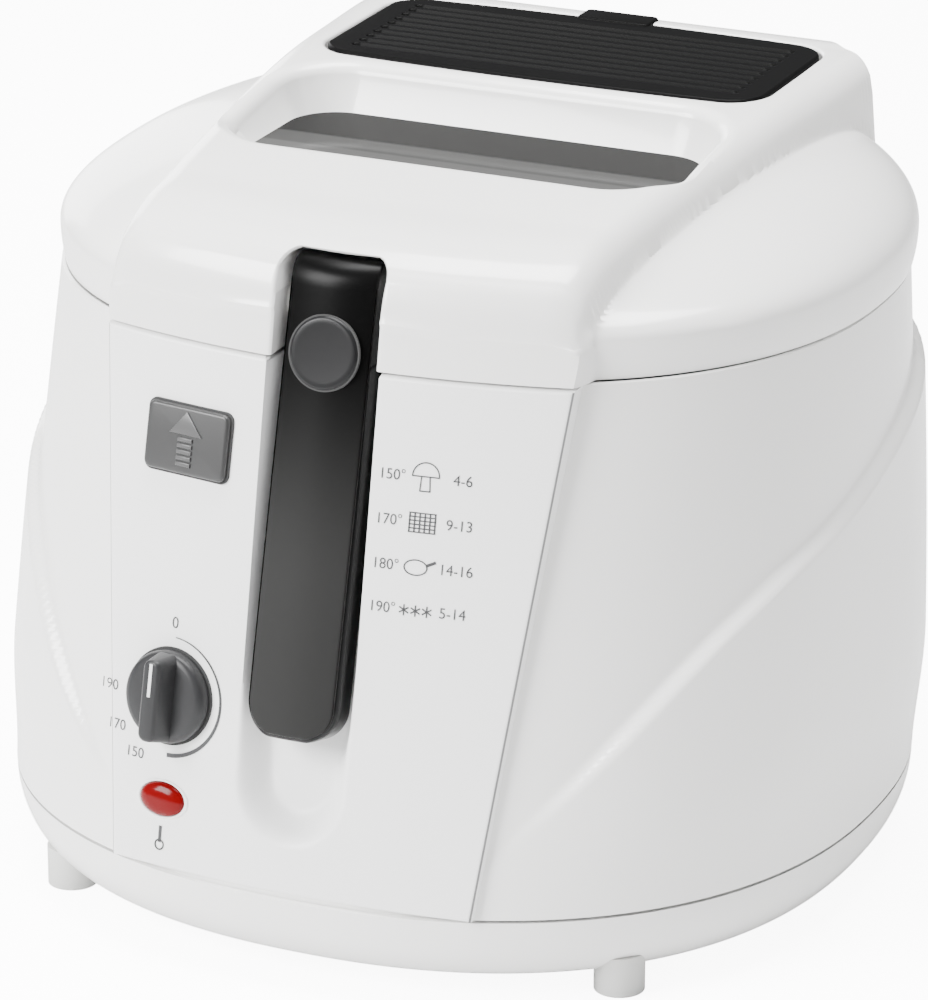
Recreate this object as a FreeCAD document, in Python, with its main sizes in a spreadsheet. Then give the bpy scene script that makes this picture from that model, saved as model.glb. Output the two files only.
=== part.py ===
import FreeCAD, Part
import Sketcher
import math
import os
import re
from FreeCAD import Placement, Rotation, Vector

# A household deep fryer with a hinged lid, a viewing window and a handle that lifts the basket.
# Millimetres. +Z is up, the front faces -Y, and the origin is under the middle of the feet.

SIZES = {
    # Plan of the housing: half width, and how far it reaches to the front and to the rear.
    # A size that starts with an equals sign follows the sizes named in it.
    "seam_height": 30.0,
    "rim_height": 192.0,
    "base_half_width": 143.0,
    "base_front": 140.0,
    "base_rear": 139.0,
    "waist_swell": 1.5,
    "rim_half_width": 134.0,
    "rim_front": "=base_front - 32.8 * (rim_height - seam_height) / 162",
    "rim_rear": 138.0,
    "plan_power": 2.25,
    "rear_rim_rise": 11.0,
    "rear_rim_start": 70.0,
    "rear_rim_gap_half": 84.0,
    "wall": 2.6,
    "seam_gap": 0.8,
    "beyond": 300.0,
    # Base tray, feet and screws.
    "base_bottom": 6.0,
    "base_edge_round": 22.0,
    "edge_in_share": 0.28,
    "edge_rise_share": 0.3,
    "foot_radius": 8.0,
    "foot_tall": 13.0,
    "foot_spread_x": 95.0,
    "foot_spread_y": 97.0,
    "screw_radius": 2.0,
    "screw_head_tall": 2.4,
    "screw_length": 12.0,
    "screw_overlap": 0.1,
    "screw_head_radius": 3.8,
    "screw_spread_x": 70.0,
    "screw_spread_y": 60.0,
    # Sloped front panel with its finger groove.
    "panel_top_half": 78.0,
    "panel_bottom_half": 61.0,
    "panel_bottom_front": 138.5,
    "panel_top_front": "=panel_bottom_front - 31.8 * (rim_height - seam_height) / 162",
    "panel_top_bulge": 11.0,
    "panel_bottom_bulge": 5.0,
    "panel_wall": 3.0,
    "panel_gap": 0.4,
    "panel_room": 25.0,
    "pivot_front": "=panel_top_front - 19.7",
    "pivot_height": "=rim_height + 14",
    "groove_half": 18.5,
    "groove_bottom": 45.0,
    "groove_floor_top": "=pivot_front + 1",
    "groove_floor_bottom": 133.0,
    "groove_wall": 2.4,
    "groove_over": 20.0,
    "trough_depth": 60.0,
    "trough_gap": 6.0,
    # Deck, bowl and heating.
    "sheet_metal": 1.5,
    "bowl_back": 18.0,
    "bowl_top_radius": 98.0,
    "bowl_bottom_radius": 82.0,
    "bowl_rim": "=rim_height - 4",
    "bowl_floor": 70.0,
    "bowl_flange": 3.0,
    "bowl_gap": 0.6,
    "deck_thickness": 2.5,
    "fit_gap": 0.3,
    "element_ring_radius": 58.0,
    "element_radius": 4.0,
    "element_leg_radius": 3.2,
    "element_leg_drop": 5.0,
    "element_leg_half": 12.0,
    "shield_radius": 84.0,
    "shield_drop": 16.0,
    "shield_lip": 8.0,
    "post_radius": 3.0,
    "post_circle": 74.0,
    "post_count": 3.0,
    "cutout_radius": 8.0,
    "cutout_tall": 7.0,
    "terminal_near": 8.0,
    "terminal_far": 42.0,
    "terminal_front": 78.0,
    "terminal_rear": 94.0,
    "terminal_tall": 18.0,
    # Lid.
    "lid_shoulder_half": 136.0,
    "lid_top": "=rim_height + 50",
    "lid_wall": 3.0,
    "shoulder_rise": 12.0,
    "shoulder_front_in": 3.0,
    "shoulder_rear_out": 2.0,
    "dome_rise": 24.0,
    "dome_side_in": 4.0,
    "dome_front_in": 9.0,
    "dome_rear_in": 2.0,
    "upper_side_in": 20.0,
    "upper_front_in": 24.0,
    "upper_rear_in": 14.0,
    "upper_drop": 16.0,
    "peak_side_in": 54.0,
    "peak_front_in": 54.0,
    "peak_rear_in": 40.0,
    "peak_drop": 9.0,
    "brow_drop": 6.0,
    "brow_in": 3.0,
    "brow_back": "=pivot_front + 1",
    "brow_level": "=rim_height + 35.5",
    "window_brow_level": "=rim_height + 42.5",
    "band_rear_half": 95.0,
    "band_rear_in": 4.0,
    "band_rear_drop": 12.0,
    "band_rear_out": 3.0,
    "band_rear_rise": 14.0,
    "band_tail": 4.0,
    "window_half": 77.0,
    "window_front": 28.0,
    "window_rear": 40.0,
    "window_corner": 16.0,
    "glass_level": "=rim_height + 30",
    "glass_thickness": 3.0,
    "glass_ledge": 4.0,
    "seal_thickness": 1.0,
    "ledge_thickness": 2.5,
    "liner_level": "=rim_height + 9",
    "liner_thickness": 2.0,
    "liner_rear_gap": 2.0,
    "arm_room_side": 7.0,
    "arm_room_back": 22.0,
    "steam_half": 60.0,
    "steam_front": 20.0,
    "steam_rear": 44.0,
    "steam_corner": 12.0,
    "gasket_width": 4.0,
    "notch_half": "=groove_half",
    "notch_top": "=rim_height + 32.5",
    "notch_back": "=pivot_front - 27",
    # Filters on the lid.
    "filter_half": 77.0,
    "filter_front": 51.0,
    "filter_rear": 118.0,
    "filter_corner": 12.0,
    "filter_cover_top": "=rim_height + 48.5",
    "filter_cover_thickness": 4.0,
    "filter_rib_count": 10.0,
    "rib_in": 8.0,
    "rib_side_in": 9.0,
    "rib_share": 0.3,
    "rib_depth": 1.2,
    "seat_wall": 3.0,
    "seat_corner": 14.0,
    "filter_tray_floor": "=rim_height + 20",
    "filter_tray_wall": 2.0,
    "filter_tray_in": 8.0,
    "filter_tray_rear_in": 6.0,
    "tray_slot_count": 9.0,
    "tray_slot_pitch": 14.0,
    "tray_slot_half": 3.0,
    "tray_slot_in": 8.0,
    "filter_pad_thickness": 6.0,
    "filter_screen_thickness": 4.0,
    "filter_front_gap": 1.0,
    "filter_pin_radius": 0.9,
    "filter_axis_in": 0.8,
    "filter_axis_down": 0.3,
    "filter_pin_share": 0.75,
    "filter_pin_out": 2.5,
    "filter_bore_out": 3.0,
    "filter_tab_half": 13.0,
    "filter_tab_reach": 9.0,
    "tab_overlap": 2.0,
    "tab_down": 1.0,
    "tab_room_in": 4.0,
    "tab_room_out": 3.0,
    "tab_room_down": 4.0,
    # Rear hinge of the lid.
    "hinge_back": 128.0,
    "hinge_height": "=rim_height + 14",
    "hinge_barrel_radius": 7.0,
    "hinge_barrel_half": 45.0,
    "hinge_lug_width": 5.0,
    "hinge_tower_width": 7.0,
    "hinge_side_gap": 0.8,
    "hinge_pin_radius": 3.0,
    "hinge_pin_in": 12.0,
    "hinge_foot_half": 2.5,
    "hinge_foot_gap": 1.0,
    "hinge_room_front": 112.0,
    "hinge_room_rise": 8.0,
    "tower_back_in": 2.0,
    "lug_back": 4.0,
    "running_gap": 0.05,
    # Lift handle. Its own frame has the pivot at the origin and hangs straight down.
    "handle_tilt": 14.9,
    "handle_half": 15.5,
    "handle_face": 14.8,
    "handle_face_thickness": 2.0,
    "handle_back": 3.8,
    "handle_length": "=pivot_height - 72.5",
    "handle_corner_share": 0.6,
    "handle_head_radius": 16.5,
    "head_back": 8.0,
    "hollow_foot": 6.0,
    "hollow_head": 2.0,
    "face_in": 1.2,
    "face_head_share": 0.42,
    "handle_wall": 2.6,
    "handle_pin_radius": 4.0,
    "handle_bracket_thickness": 2.5,
    "bracket_gap": 0.2,
    "bracket_front": 7.0,
    "bracket_rear": 5.0,
    "bracket_drop": 50.0,
    "bracket_bar_half": 6.0,
    "bush_radius": 7.0,
    "handle_button_radius": 11.2,
    "handle_button_drop": 14.5,
    "handle_button_wall": 1.6,
    "handle_button_proud": 1.0,
    "handle_button_depth": 4.8,
    "button_hole_stop": 6.0,
    "button_seat_wall": 1.6,
    "button_seat_rise": 6.0,
    "button_spring_radius": 6.0,
    "button_spring_bore": 4.8,
    "button_spring_lead": 2.8,
    "button_gap": 0.25,
    # Lift arm and basket.
    "rocker_back": 18.0,
    "sector_gap": 0.3,
    "path_gap": 0.5,
    "sector_low": 7.5,
    "sector_thickness": 4.0,
    "rocker_shaft_radius": 3.0,
    "rocker_eye_radius": 6.0,
    "arm_reach": 36.0,
    "arm_start": 70.0,
    "arm_half_depth": 3.5,
    "arm_inner": 4.0,
    "arm_thickness": 3.0,
    "cross_pin_radius": 2.5,
    "slot_rise": 10.2,
    "slot_end_gap": 0.5,
    "slot_margin": 3.0,
    "slot_roof": 3.5,
    "basket_top_radius": 86.0,
    "basket_bottom_radius": 78.0,
    "basket_rim": "=bowl_rim - 38",
    "basket_floor": "=bowl_floor + 7",
    "basket_wall": 2.0,
    "basket_foot_tall": 8.0,
    "basket_plate_half": 2.0,
    # Controls on the panel.
    "control_x": "=groove_half + 25.5",
    "hole_reach": 20.0,
    "knob_height": 84.0,
    "knob_radius": 15.5,
    "knob_depth": 6.0,
    "knob_grip_height": 7.0,
    "knob_grip_width": 9.0,
    "knob_grip_in": 1.6,
    "knob_grip_round": 2.2,
    "knob_taper": 1.5,
    "knob_gap": 0.6,
    "shaft_radius": 3.0,
    "shaft_hole_gap": 1.0,
    "shaft_nose_wall": 0.8,
    "shaft_nose_reach": 1.0,
    "thermostat_side": 30.0,
    "thermostat_depth": 20.0,
    "thermostat_gap": 2.2,
    "release_height": "=rim_height - 29.5",
    "release_width": 30.0,
    "release_tall": 21.0,
    "release_depth": 9.0,
    "release_proud": 2.0,
    "release_wall": 1.8,
    "release_travel": 3.5,
    "release_corner": 2.0,
    "release_spring_radius": 5.0,
    "release_spring_bore": 4.0,
    "release_spring_length": 3.0,
    "release_spring_drop": 1.0,
    "hook_rise": 38.5,
    "hook_half": 7.0,
    "hook_thickness": 2.0,
    "hook_room_half": 13.0,
    "hook_room_back": "=pivot_front - 3",
    "barb_reach": 3.0,
    "barb_tall": 2.5,
    "catch_room_half": 14.0,
    "catch_room_back": "=pivot_front - 7",
    "catch_rise": 2.0,
    "catch_gap": 1.0,
    "catch_back_gap": 0.6,
    "catch_side_gap": 0.1,
    "leg_gap": 2.0,
    "leg_thickness": 1.5,
    "leg_start_gap": 0.8,
    "leg_half_tall": 6.0,
    "lamp_height": 52.0,
    "lamp_half_width": 8.3,
    "lamp_half_tall": 5.5,
    "lamp_depth": 6.0,
    "lamp_proud": 1.5,
    "lamp_gap": 0.1,
    "lamp_holder_length": 14.0,
    # Mains inlet.
    "inlet_x": 70.0,
    "inlet_height": 48.0,
    "inlet_radius": 8.0,
    "inlet_flange": 3.0,
    "inlet_wall": 3.5,
    "inlet_length": 14.0,
    "inlet_overlap": 1.0,
    "inlet_bore_length": 40.0,
    "inlet_bore_back": 25.0,
}

NODES = []

doc = FreeCAD.newDocument("deep_fryer")
sheet = doc.addObject("Spreadsheet::Sheet", "Sizes")
for row, (alias, value) in enumerate(SIZES.items(), start=1):
    sheet.set("A%d" % row, alias)
    sheet.set("B%d" % row, str(value))
    sheet.setAlias("B%d" % row, alias)
doc.recompute()


def size(alias):
    """The value of one named size in the sheet."""
    return float(sheet.get(alias))


def tie(text):
    """Turn the named sizes in an expression into references to the sheet."""
    def named(word):
        return "Sizes." + word[0] if word[0] in SIZES else word[0]

    return re.sub(r"[A-Za-z_]\w*", named, text)


def bind(item, expressions):
    for place, text in expressions.items():
        item.setExpression(place, tie(text))


def place(item, x, y, z):
    bind(item, {"Placement.Base.x": x, "Placement.Base.y": y, "Placement.Base.z": z})


def box(name, spans):
    """A block given by its low and high limit along each axis, as expressions."""
    item = doc.addObject("Part::Box", name)
    for side, (low, high) in zip(("Length", "Width", "Height"), spans):
        bind(item, {side: "(%s) - (%s)" % (high, low)})
    place(item, *[low for low, high in spans])
    return item


def cylinder(name, radius, height, start, along="z"):
    item = doc.addObject("Part::Cylinder", name)
    turns = {"x": Rotation(Vector(0, 1, 0), 90), "y": Rotation(Vector(1, 0, 0), -90), "z": Rotation()}
    item.Placement = Placement(Vector(), turns[along])
    bind(item, {"Radius": radius, "Height": height})
    place(item, *start)
    return item


def fuse(name, *items):
    item = doc.addObject("Part::MultiFuse", name)
    item.Shapes = list(items)
    return item


def cut(name, base, *tools):
    item = doc.addObject("Part::Cut", name)
    item.Base = base
    item.Tool = tools[0] if len(tools) == 1 else fuse(name + "_tools", *tools)
    return item


def tube(name, outer, inner, height, start, along="z"):
    solid = cylinder(name + "_outside", outer, height, start, along)
    bore = cylinder(name + "_bore", inner, height, start, along)
    return cut(name, solid, bore)


def group(name, items):
    item = doc.addObject("Part::Compound", name)
    item.Links = list(items)
    return item


def feature(name, shape):
    item = doc.addObject("Part::Feature", name)
    item.Shape = shape
    return item


def revolved(name, outline):
    """A body turned about Z from a closed outline of (radius, height) expressions."""
    body = doc.addObject("PartDesign::Body", name)
    plane = [f for f in body.Origin.OriginFeatures if f.Role == "XZ_Plane"][0]
    sketch = body.newObject("Sketcher::SketchObject", name + "_outline")
    sketch.AttachmentSupport = [(plane, "")]
    sketch.MapMode = "FlatFace"
    corners = []
    for radius, height in outline:
        sheet.set("D1", "=" + radius)
        sheet.set("D2", "=" + height)
        doc.recompute([sheet])
        corners.append(Vector(float(sheet.get("D1")), float(sheet.get("D2")), 0))
    count = len(corners)
    for index in range(count):
        sketch.addGeometry(Part.LineSegment(corners[index], corners[(index + 1) % count]), False)
    for index in range(count):
        sketch.addConstraint(Sketcher.Constraint("Coincident", index, 2, (index + 1) % count, 1))
    for index, (radius, height) in enumerate(outline):
        if radius == "0":
            sketch.addConstraint(Sketcher.Constraint("PointOnObject", index, 1, -2))
        else:
            aside = Sketcher.Constraint("DistanceX", -1, 1, index, 1, corners[index].x)
            across = sketch.addConstraint(aside)
            sketch.setExpression("Constraints[%d]" % across, tie(radius))
        above = Sketcher.Constraint("DistanceY", -1, 1, index, 1, corners[index].y)
        up = sketch.addConstraint(above)
        sketch.setExpression("Constraints[%d]" % up, tie(height))
    turn = body.newObject("PartDesign::Revolution", name + "_turn")
    turn.Profile = sketch
    turn.ReferenceAxis = (sketch, ["V_Axis"])
    turn.Angle = 360
    return body


def node(item, label):
    """Make an object one of the separate pieces that are written out."""
    item.Label = label
    NODES.append(item)
    return item


# Plan curves and the lofts made from them.

def plan_curve(half_width, front, rear, height, points=64):
    """A rounded-square ring with a softer front and rear than an ellipse."""
    power = 2.0 / size("plan_power")
    depth = (front + rear) / 2.0
    middle = (rear - front) / 2.0
    ring = []
    for step in range(points):
        angle = 2.0 * math.pi * step / points
        across = math.copysign(abs(math.cos(angle)) ** power, math.cos(angle))
        along = math.copysign(abs(math.sin(angle)) ** power, math.sin(angle))
        ring.append(Vector(half_width * across, middle + depth * along, height))
    curve = Part.BSplineCurve()
    curve.interpolate(ring, PeriodicFlag=True)
    return Part.Wire([curve.toShape()])


def stacked(sections, inset=0.0):
    """A solid through plan curves, each given as half width, front, rear and height."""
    rings = [plan_curve(w - inset, f - inset, r - inset, z) for w, f, r, z in sections]
    return Part.makeLoft(rings, True, True)


def block(x_low, x_high, y_low, y_high, z_low, z_high):
    return Part.makeBox(x_high - x_low, y_high - y_low, z_high - z_low, Vector(x_low, y_low, z_low))


FAR = size("beyond")
NEAR = 0.01
ALONG_X = Vector(1, 0, 0)
INWARD = Vector(0, 1, 0)
OUTWARD = Vector(0, -1, 0)


def rod(radius, length, start, along):
    return Part.makeCylinder(radius, length, start, along)


def largest(shape):
    """The largest solid of a shape that may have fallen into several."""
    return sorted(shape.Solids, key=lambda solid: solid.Volume)[-1]


def housing_solid(inset=0.0):
    seam = size("seam_height")
    rim = size("rim_height")
    top = rim + size("rear_rim_rise")
    lean = (size("base_front") - size("rim_front")) / (rim - seam)
    narrowing = (size("base_half_width") - size("rim_half_width")) / (rim - seam)

    def ring(height, swell):
        rise = height - seam
        half = size("base_half_width") - narrowing * rise + swell
        rear_step = (size("base_rear") - size("rim_rear")) / (rim - seam)
        return half, size("base_front") - lean * rise, size("base_rear") - rear_step * rise, height

    middle = (seam + rim) / 2.0
    return stacked([ring(seam, 0.0), ring(middle, size("waist_swell")), ring(top, 0.0)], inset)


def panel_prism(depth, spare=0.0):
    """The panel's outline with its bulged front, carried back by a depth."""
    rings = []
    low = size("seam_height") + size("seam_gap")
    levels = (
        ("panel_bottom_half", "panel_bottom_front", "panel_bottom_bulge", low),
        ("panel_top_half", "panel_top_front", "panel_top_bulge", size("rim_height")),
    )
    for half_name, front_name, bulge_name, height in levels:
        half = size(half_name) + spare
        front = -size(front_name)
        side = front + size(bulge_name)
        left = Vector(-half, side, height)
        right = Vector(half, side, height)
        back = Vector(0, depth, 0)
        nose = Vector(0, front, height)
        rings.append(Part.Wire([
            Part.Arc(left, nose, right).toShape(),
            Part.LineSegment(right, right + back).toShape(),
            Part.Arc(right + back, nose + back, left + back).toShape(),
            Part.LineSegment(left + back, left).toShape(),
        ]))
    return Part.makeLoft(rings, True, True)


def panel_point(x, height):
    """A point on the panel's front and the frame there, whose -Y points out of the panel."""
    low = size("seam_height") + size("seam_gap")
    share = (height - low) / (size("rim_height") - low)

    def level(bottom, top):
        return size(bottom) + (size(top) - size(bottom)) * share

    half = level("panel_bottom_half", "panel_top_half")
    bulge = level("panel_bottom_bulge", "panel_top_bulge")
    front = -level("panel_bottom_front", "panel_top_front")
    radius = (half * half + bulge * bulge) / (2.0 * bulge)
    sideways = math.asin(x / radius)
    depth = front + radius * (1.0 - math.cos(sideways))
    lean = math.atan2(size("panel_bottom_front") - size("panel_top_front"), size("rim_height") - low)
    turn = Rotation(Vector(0, 0, 1), math.degrees(sideways)).multiply(
        Rotation(Vector(1, 0, 0), -math.degrees(lean)))
    return Placement(Vector(x, depth, height), turn)


def groove_solid(spare):
    """The finger groove behind the handle, or its wall when given a spare thickness."""
    half = size("groove_half") + spare
    centre = size("groove_bottom") + size("groove_half")
    top = size("rim_height") + size("groove_over") * (spare == 0.0)
    left_top = Vector(-half, -FAR, top)
    right_top = Vector(half, -FAR, top)
    left = Vector(-half, -FAR, centre)
    right = Vector(half, -FAR, centre)
    outline = Part.Wire([
        Part.LineSegment(left_top, left).toShape(),
        Part.Arc(left, Vector(0, -FAR, centre - half), right).toShape(),
        Part.LineSegment(right, right_top).toShape(),
        Part.LineSegment(right_top, left_top).toShape(),
    ])
    prism = Part.Face(outline).extrude(Vector(0, FAR, 0))
    rise = size("rim_height") - size("groove_bottom")
    run = size("groove_floor_bottom") - size("groove_floor_top")
    high = -size("groove_floor_top") + spare
    low = -size("groove_floor_bottom") + spare
    top_point = Vector(0, high + run * rise / rise, size("rim_height") + rise)
    low_point = Vector(0, low - run * rise / rise, size("groove_bottom") - rise)
    wedge = Part.Wire(Part.makePolygon([
        top_point, low_point, Vector(0, -FAR, low_point.z), Vector(0, -FAR, top_point.z), top_point]))
    ahead = Part.Face(wedge).extrude(Vector(2 * FAR, 0, 0))
    ahead.translate(Vector(-FAR, 0, 0))
    return prism.common(ahead)


def lid_solid(inset=0.0):
    """The lid's rounded shoulders joined with the raised band that runs front to rear."""
    rim = size("rim_height") + size("seam_gap")
    half = size("rim_half_width")
    front = size("rim_front")
    rear = size("rim_rear")
    swell = size("lid_shoulder_half") - half
    top = size("lid_top")
    dome = stacked([
        (half, front, rear, rim - (inset > 0.0)),
        (half + swell, front - size("shoulder_front_in"), rear + size("shoulder_rear_out"),
         rim + size("shoulder_rise")),
        (half - size("dome_side_in"), front - size("dome_front_in"), rear - size("dome_rear_in"),
         rim + size("dome_rise")),
        (half - size("upper_side_in"), front - size("upper_front_in"), rear - size("upper_rear_in"),
         top - size("upper_drop") - inset),
        (half - size("peak_side_in"), front - size("peak_front_in"), rear - size("peak_rear_in"),
         top - size("peak_drop") - inset),
    ], inset)
    lean = size("panel_bottom_front") - size("panel_top_front")
    lean = lean / (size("rim_height") - size("seam_height"))
    nose = -size("panel_top_front") + inset
    low = rim - (inset > 0.0)
    brow = size("notch_top") - size("brow_drop")
    cover_top = size("filter_cover_top") - inset
    side = Part.Wire(Part.makePolygon([Vector(0, y, z) for y, z in (
        (nose, low),
        (nose + lean * (brow - rim) + size("brow_in"), brow - inset / 2.0),
        (-size("brow_back") + inset / 2.0, size("brow_level") - inset),
        (-size("window_front"), size("window_brow_level") - inset),
        (size("window_rear"), cover_top),
        (size("filter_rear"), cover_top),
        (rear - size("band_rear_in") - inset, top - size("band_rear_drop") - inset),
        (rear + size("band_rear_out") - inset, rim + size("band_rear_rise")),
        (size("rim_rear") - inset, low),
        (nose, low),
    )]))
    band = Part.Face(side).extrude(Vector(2 * FAR, 0, 0))
    band.translate(Vector(-FAR, 0, 0))
    front_half = size("panel_top_half") - inset
    rear_half = size("band_rear_half") - inset
    nose_side = nose + size("panel_top_bulge")
    front_left = Vector(-front_half, nose_side, 0)
    front_right = Vector(front_half, nose_side, 0)
    rear_right = Vector(rear_half, size("hinge_back"), 0)
    rear_left = Vector(-rear_half, size("hinge_back"), 0)
    tail = Vector(0, rear + size("band_tail") - inset, 0)
    plan = Part.Wire([
        Part.Arc(front_left, Vector(0, nose, 0), front_right).toShape(),
        Part.LineSegment(front_right, rear_right).toShape(),
        Part.Arc(rear_right, tail, rear_left).toShape(),
        Part.LineSegment(rear_left, front_left).toShape(),
    ])
    column = Part.Face(plan).extrude(Vector(0, 0, FAR))
    return dome.fuse(band.common(column)).removeSplitter()


def rounded_plan(half, front, rear, corner, low, high):
    """An upright prism with a rounded rectangle for its plan."""
    prism = block(-half, half, front, rear, low, high)
    upright = [e for e in prism.Edges if abs(e.Vertexes[0].Z - e.Vertexes[-1].Z) > NEAR]
    return prism.makeFillet(corner, upright)


# Housing, front panel and base.

outer = housing_solid()
inner = housing_solid(size("wall"))
rim_cut = block(-FAR, FAR, -FAR, size("rear_rim_start"), size("rim_height"), FAR)
gap_half = size("rear_rim_gap_half")
rear_cut = block(-gap_half, gap_half, 0.0, FAR, size("rim_height"), FAR)
panel_room = size("panel_room")
opening = panel_prism(size("panel_wall") + panel_room, size("panel_gap"))
opening_front = opening.fuse(opening.translated(Vector(0, -panel_room, 0)))
inlet_start = Vector(size("inlet_x"), 0, size("inlet_height"))
inlet_hole = rod(size("inlet_radius") + size("fit_gap"), FAR, inlet_start, INWARD)
housing_shape = outer.cut(inner).cut(rim_cut).cut(rear_cut).cut(opening_front).cut(inlet_hole)
node(feature("Housing", largest(housing_shape)), "outer_housing")

plate = panel_prism(size("panel_wall"))
trough = groove_solid(size("groove_wall")).common(panel_prism(size("trough_depth")))
panel_shape = plate.fuse(trough).cut(groove_solid(0.0))

controls = -size("control_x")
knob_place = panel_point(controls, size("knob_height"))
release_place = panel_point(controls, size("release_height"))
lamp_place = panel_point(controls, size("lamp_height"))

hole_reach = size("hole_reach")
shaft_hole = rod(size("shaft_radius") + size("shaft_hole_gap"), FAR, Vector(0, -hole_reach, 0), INWARD)
shaft_hole.Placement = knob_place.multiply(shaft_hole.Placement)
half_width = size("release_width") / 2.0 + size("button_gap")
half_tall = size("release_tall") / 2.0 + size("button_gap")
release_hole = block(-half_width, half_width, -hole_reach, hole_reach, -half_tall, half_tall)
release_hole.Placement = release_place.multiply(release_hole.Placement)
lamp_gap = size("lamp_gap")
lamp_ring = Part.Ellipse(Vector(), size("lamp_half_width") + lamp_gap, size("lamp_half_tall") + lamp_gap)
lamp_hole = Part.Face(Part.Wire([lamp_ring.toShape()])).extrude(Vector(0, 0, 2 * hole_reach))
lamp_turn = Placement(Vector(0, hole_reach, 0), Rotation(ALONG_X, 90))
lamp_hole.Placement = lamp_place.multiply(lamp_turn)
panel_shape = panel_shape.cut(shaft_hole).cut(release_hole).cut(lamp_hole)
node(feature("Panel", panel_shape.removeSplitter()), "front_panel")

seam = size("seam_height")
bottom = size("base_bottom")
edge = size("base_edge_round")
turn_in = size("edge_in_share") * edge
turn_height = bottom + size("edge_rise_share") * (seam - bottom)
tray_rings = [
    (size("base_half_width") - edge, size("base_front") - edge, size("base_rear") - edge, bottom),
    (size("base_half_width") - turn_in, size("base_front") - turn_in, size("base_rear") - turn_in,
     turn_height),
    (size("base_half_width"), size("base_front"), size("base_rear"), seam),
]
tray_inside = stacked(tray_rings, size("wall")).translated(Vector(0, 0, size("wall")))
tray_outside = stacked(tray_rings)
tray_shape = tray_outside.cut(tray_inside)
holes = []
for side_x in (-1, 1):
    for side_y in (-1, 1):
        spot = Vector(side_x * size("screw_spread_x"), side_y * size("screw_spread_y"), 0)
        holes.append(Part.makeCylinder(size("screw_radius") + size("fit_gap"), FAR, spot))
node(feature("Tray", tray_shape.cut(holes)), "base_tray")

foot_roof = tray_outside.translated(Vector(0, 0, -size("fit_gap")))
feet = []
screws = []
for index, (side_x, side_y) in enumerate(((-1, -1), (1, -1), (-1, 1), (1, 1))):
    foot_spot = Vector(side_x * size("foot_spread_x"), side_y * size("foot_spread_y"), 0)
    foot = Part.makeCylinder(size("foot_radius"), size("foot_tall"), foot_spot)
    feet.append(feature("Foot%d" % index, foot.cut(foot_roof)))
    spot_x = "%d * screw_spread_x" % side_x
    spot_y = "%d * screw_spread_y" % side_y
    head = cylinder(
        "ScrewHead%d" % index, "screw_head_radius", "screw_head_tall",
        (spot_x, spot_y, "base_bottom - screw_head_tall"))
    shank = cylinder(
        "ScrewShank%d" % index, "screw_radius", "screw_length",
        (spot_x, spot_y, "base_bottom - screw_overlap"))
    screws.append(fuse("Screw%d" % index, head, shank))
node(group("Feet", feet), "rubber_feet")
node(group("Screws", screws), "base_screws")

# Deck and bowl.

deck_top = size("bowl_rim") - size("sheet_metal")
deck_low = deck_top - size("deck_thickness")
slab = block(-FAR, FAR, -FAR, FAR, deck_low, deck_top)
bowl_hole_radius = size("bowl_top_radius") + size("sheet_metal") + size("bowl_gap")
bowl_hole = Part.makeCylinder(bowl_hole_radius, FAR, Vector(0, size("bowl_back"), 0))
trough_half = size("groove_half") + size("trough_gap")
trough_room = block(-trough_half, trough_half, -FAR, -size("bowl_top_radius") + size("bowl_back"), 0, FAR)
hook_side = size("hook_room_half")
hook_room = block(controls - hook_side, controls + hook_side, -FAR, -size("hook_room_back"), 0, FAR)
panel_space = opening.translated(Vector(0, -panel_room + size("fit_gap"), 0))
deck_shape = slab.common(housing_solid(size("wall") + size("fit_gap")))
deck_shape = deck_shape.cut(bowl_hole).cut(trough_room).cut(hook_room).cut(panel_space)
node(feature("Deck", largest(deck_shape)), "top_deck")

bowl = revolved("Bowl", (
    ("0", "bowl_floor - sheet_metal"),
    ("bowl_bottom_radius + sheet_metal", "bowl_floor - sheet_metal"),
    ("bowl_top_radius + sheet_metal", "bowl_rim - sheet_metal"),
    ("bowl_top_radius + bowl_flange", "bowl_rim - sheet_metal"),
    ("bowl_top_radius + bowl_flange", "bowl_rim"),
    ("bowl_top_radius", "bowl_rim"),
    ("bowl_bottom_radius", "bowl_floor"),
    ("0", "bowl_floor"),
))
bind(bowl, {"Placement.Base.y": "bowl_back"})
node(bowl, "inner_bowl")

ring = doc.addObject("Part::Torus", "ElementRing")
bind(ring, {"Radius1": "element_ring_radius", "Radius2": "element_radius"})
place(ring, "0", "bowl_back", "bowl_floor - sheet_metal - element_radius - fit_gap")
legs = []
for side_x in (-1, 1):
    legs.append(cylinder(
        "ElementLeg%d" % side_x, "element_leg_radius", "element_radius + element_leg_drop",
        ("%d * element_leg_half" % side_x, "bowl_back + element_ring_radius",
         "bowl_floor - sheet_metal - element_radius * 2 - fit_gap - element_leg_drop")))
node(fuse("Element", ring, *legs), "heating_element")

shield_top = "bowl_floor - sheet_metal - shield_drop"
shield = revolved("Shield", (
    ("0", shield_top + " - sheet_metal"),
    ("shield_radius", shield_top + " - sheet_metal"),
    ("shield_radius", shield_top + " + shield_lip"),
    ("shield_radius - sheet_metal", shield_top + " + shield_lip"),
    ("shield_radius - sheet_metal", shield_top),
    ("0", shield_top),
))
bind(shield, {"Placement.Base.y": "bowl_back"})
node(shield, "heat_shield")
posts = []
for index in range(int(size("post_count"))):
    angle = 90 + 360 * index / size("post_count")
    posts.append(cylinder(
        "Post%d" % index, "post_radius", "shield_drop",
        ("post_circle * cos(%d)" % angle, "bowl_back + post_circle * sin(%d)" % angle, shield_top)))
node(group("Posts", posts), "shield_posts")
node(cylinder(
    "Cutout", "cutout_radius", "cutout_tall",
    ("0", "bowl_back", "bowl_floor - sheet_metal - fit_gap - cutout_tall")), "thermal_cutout")
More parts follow.
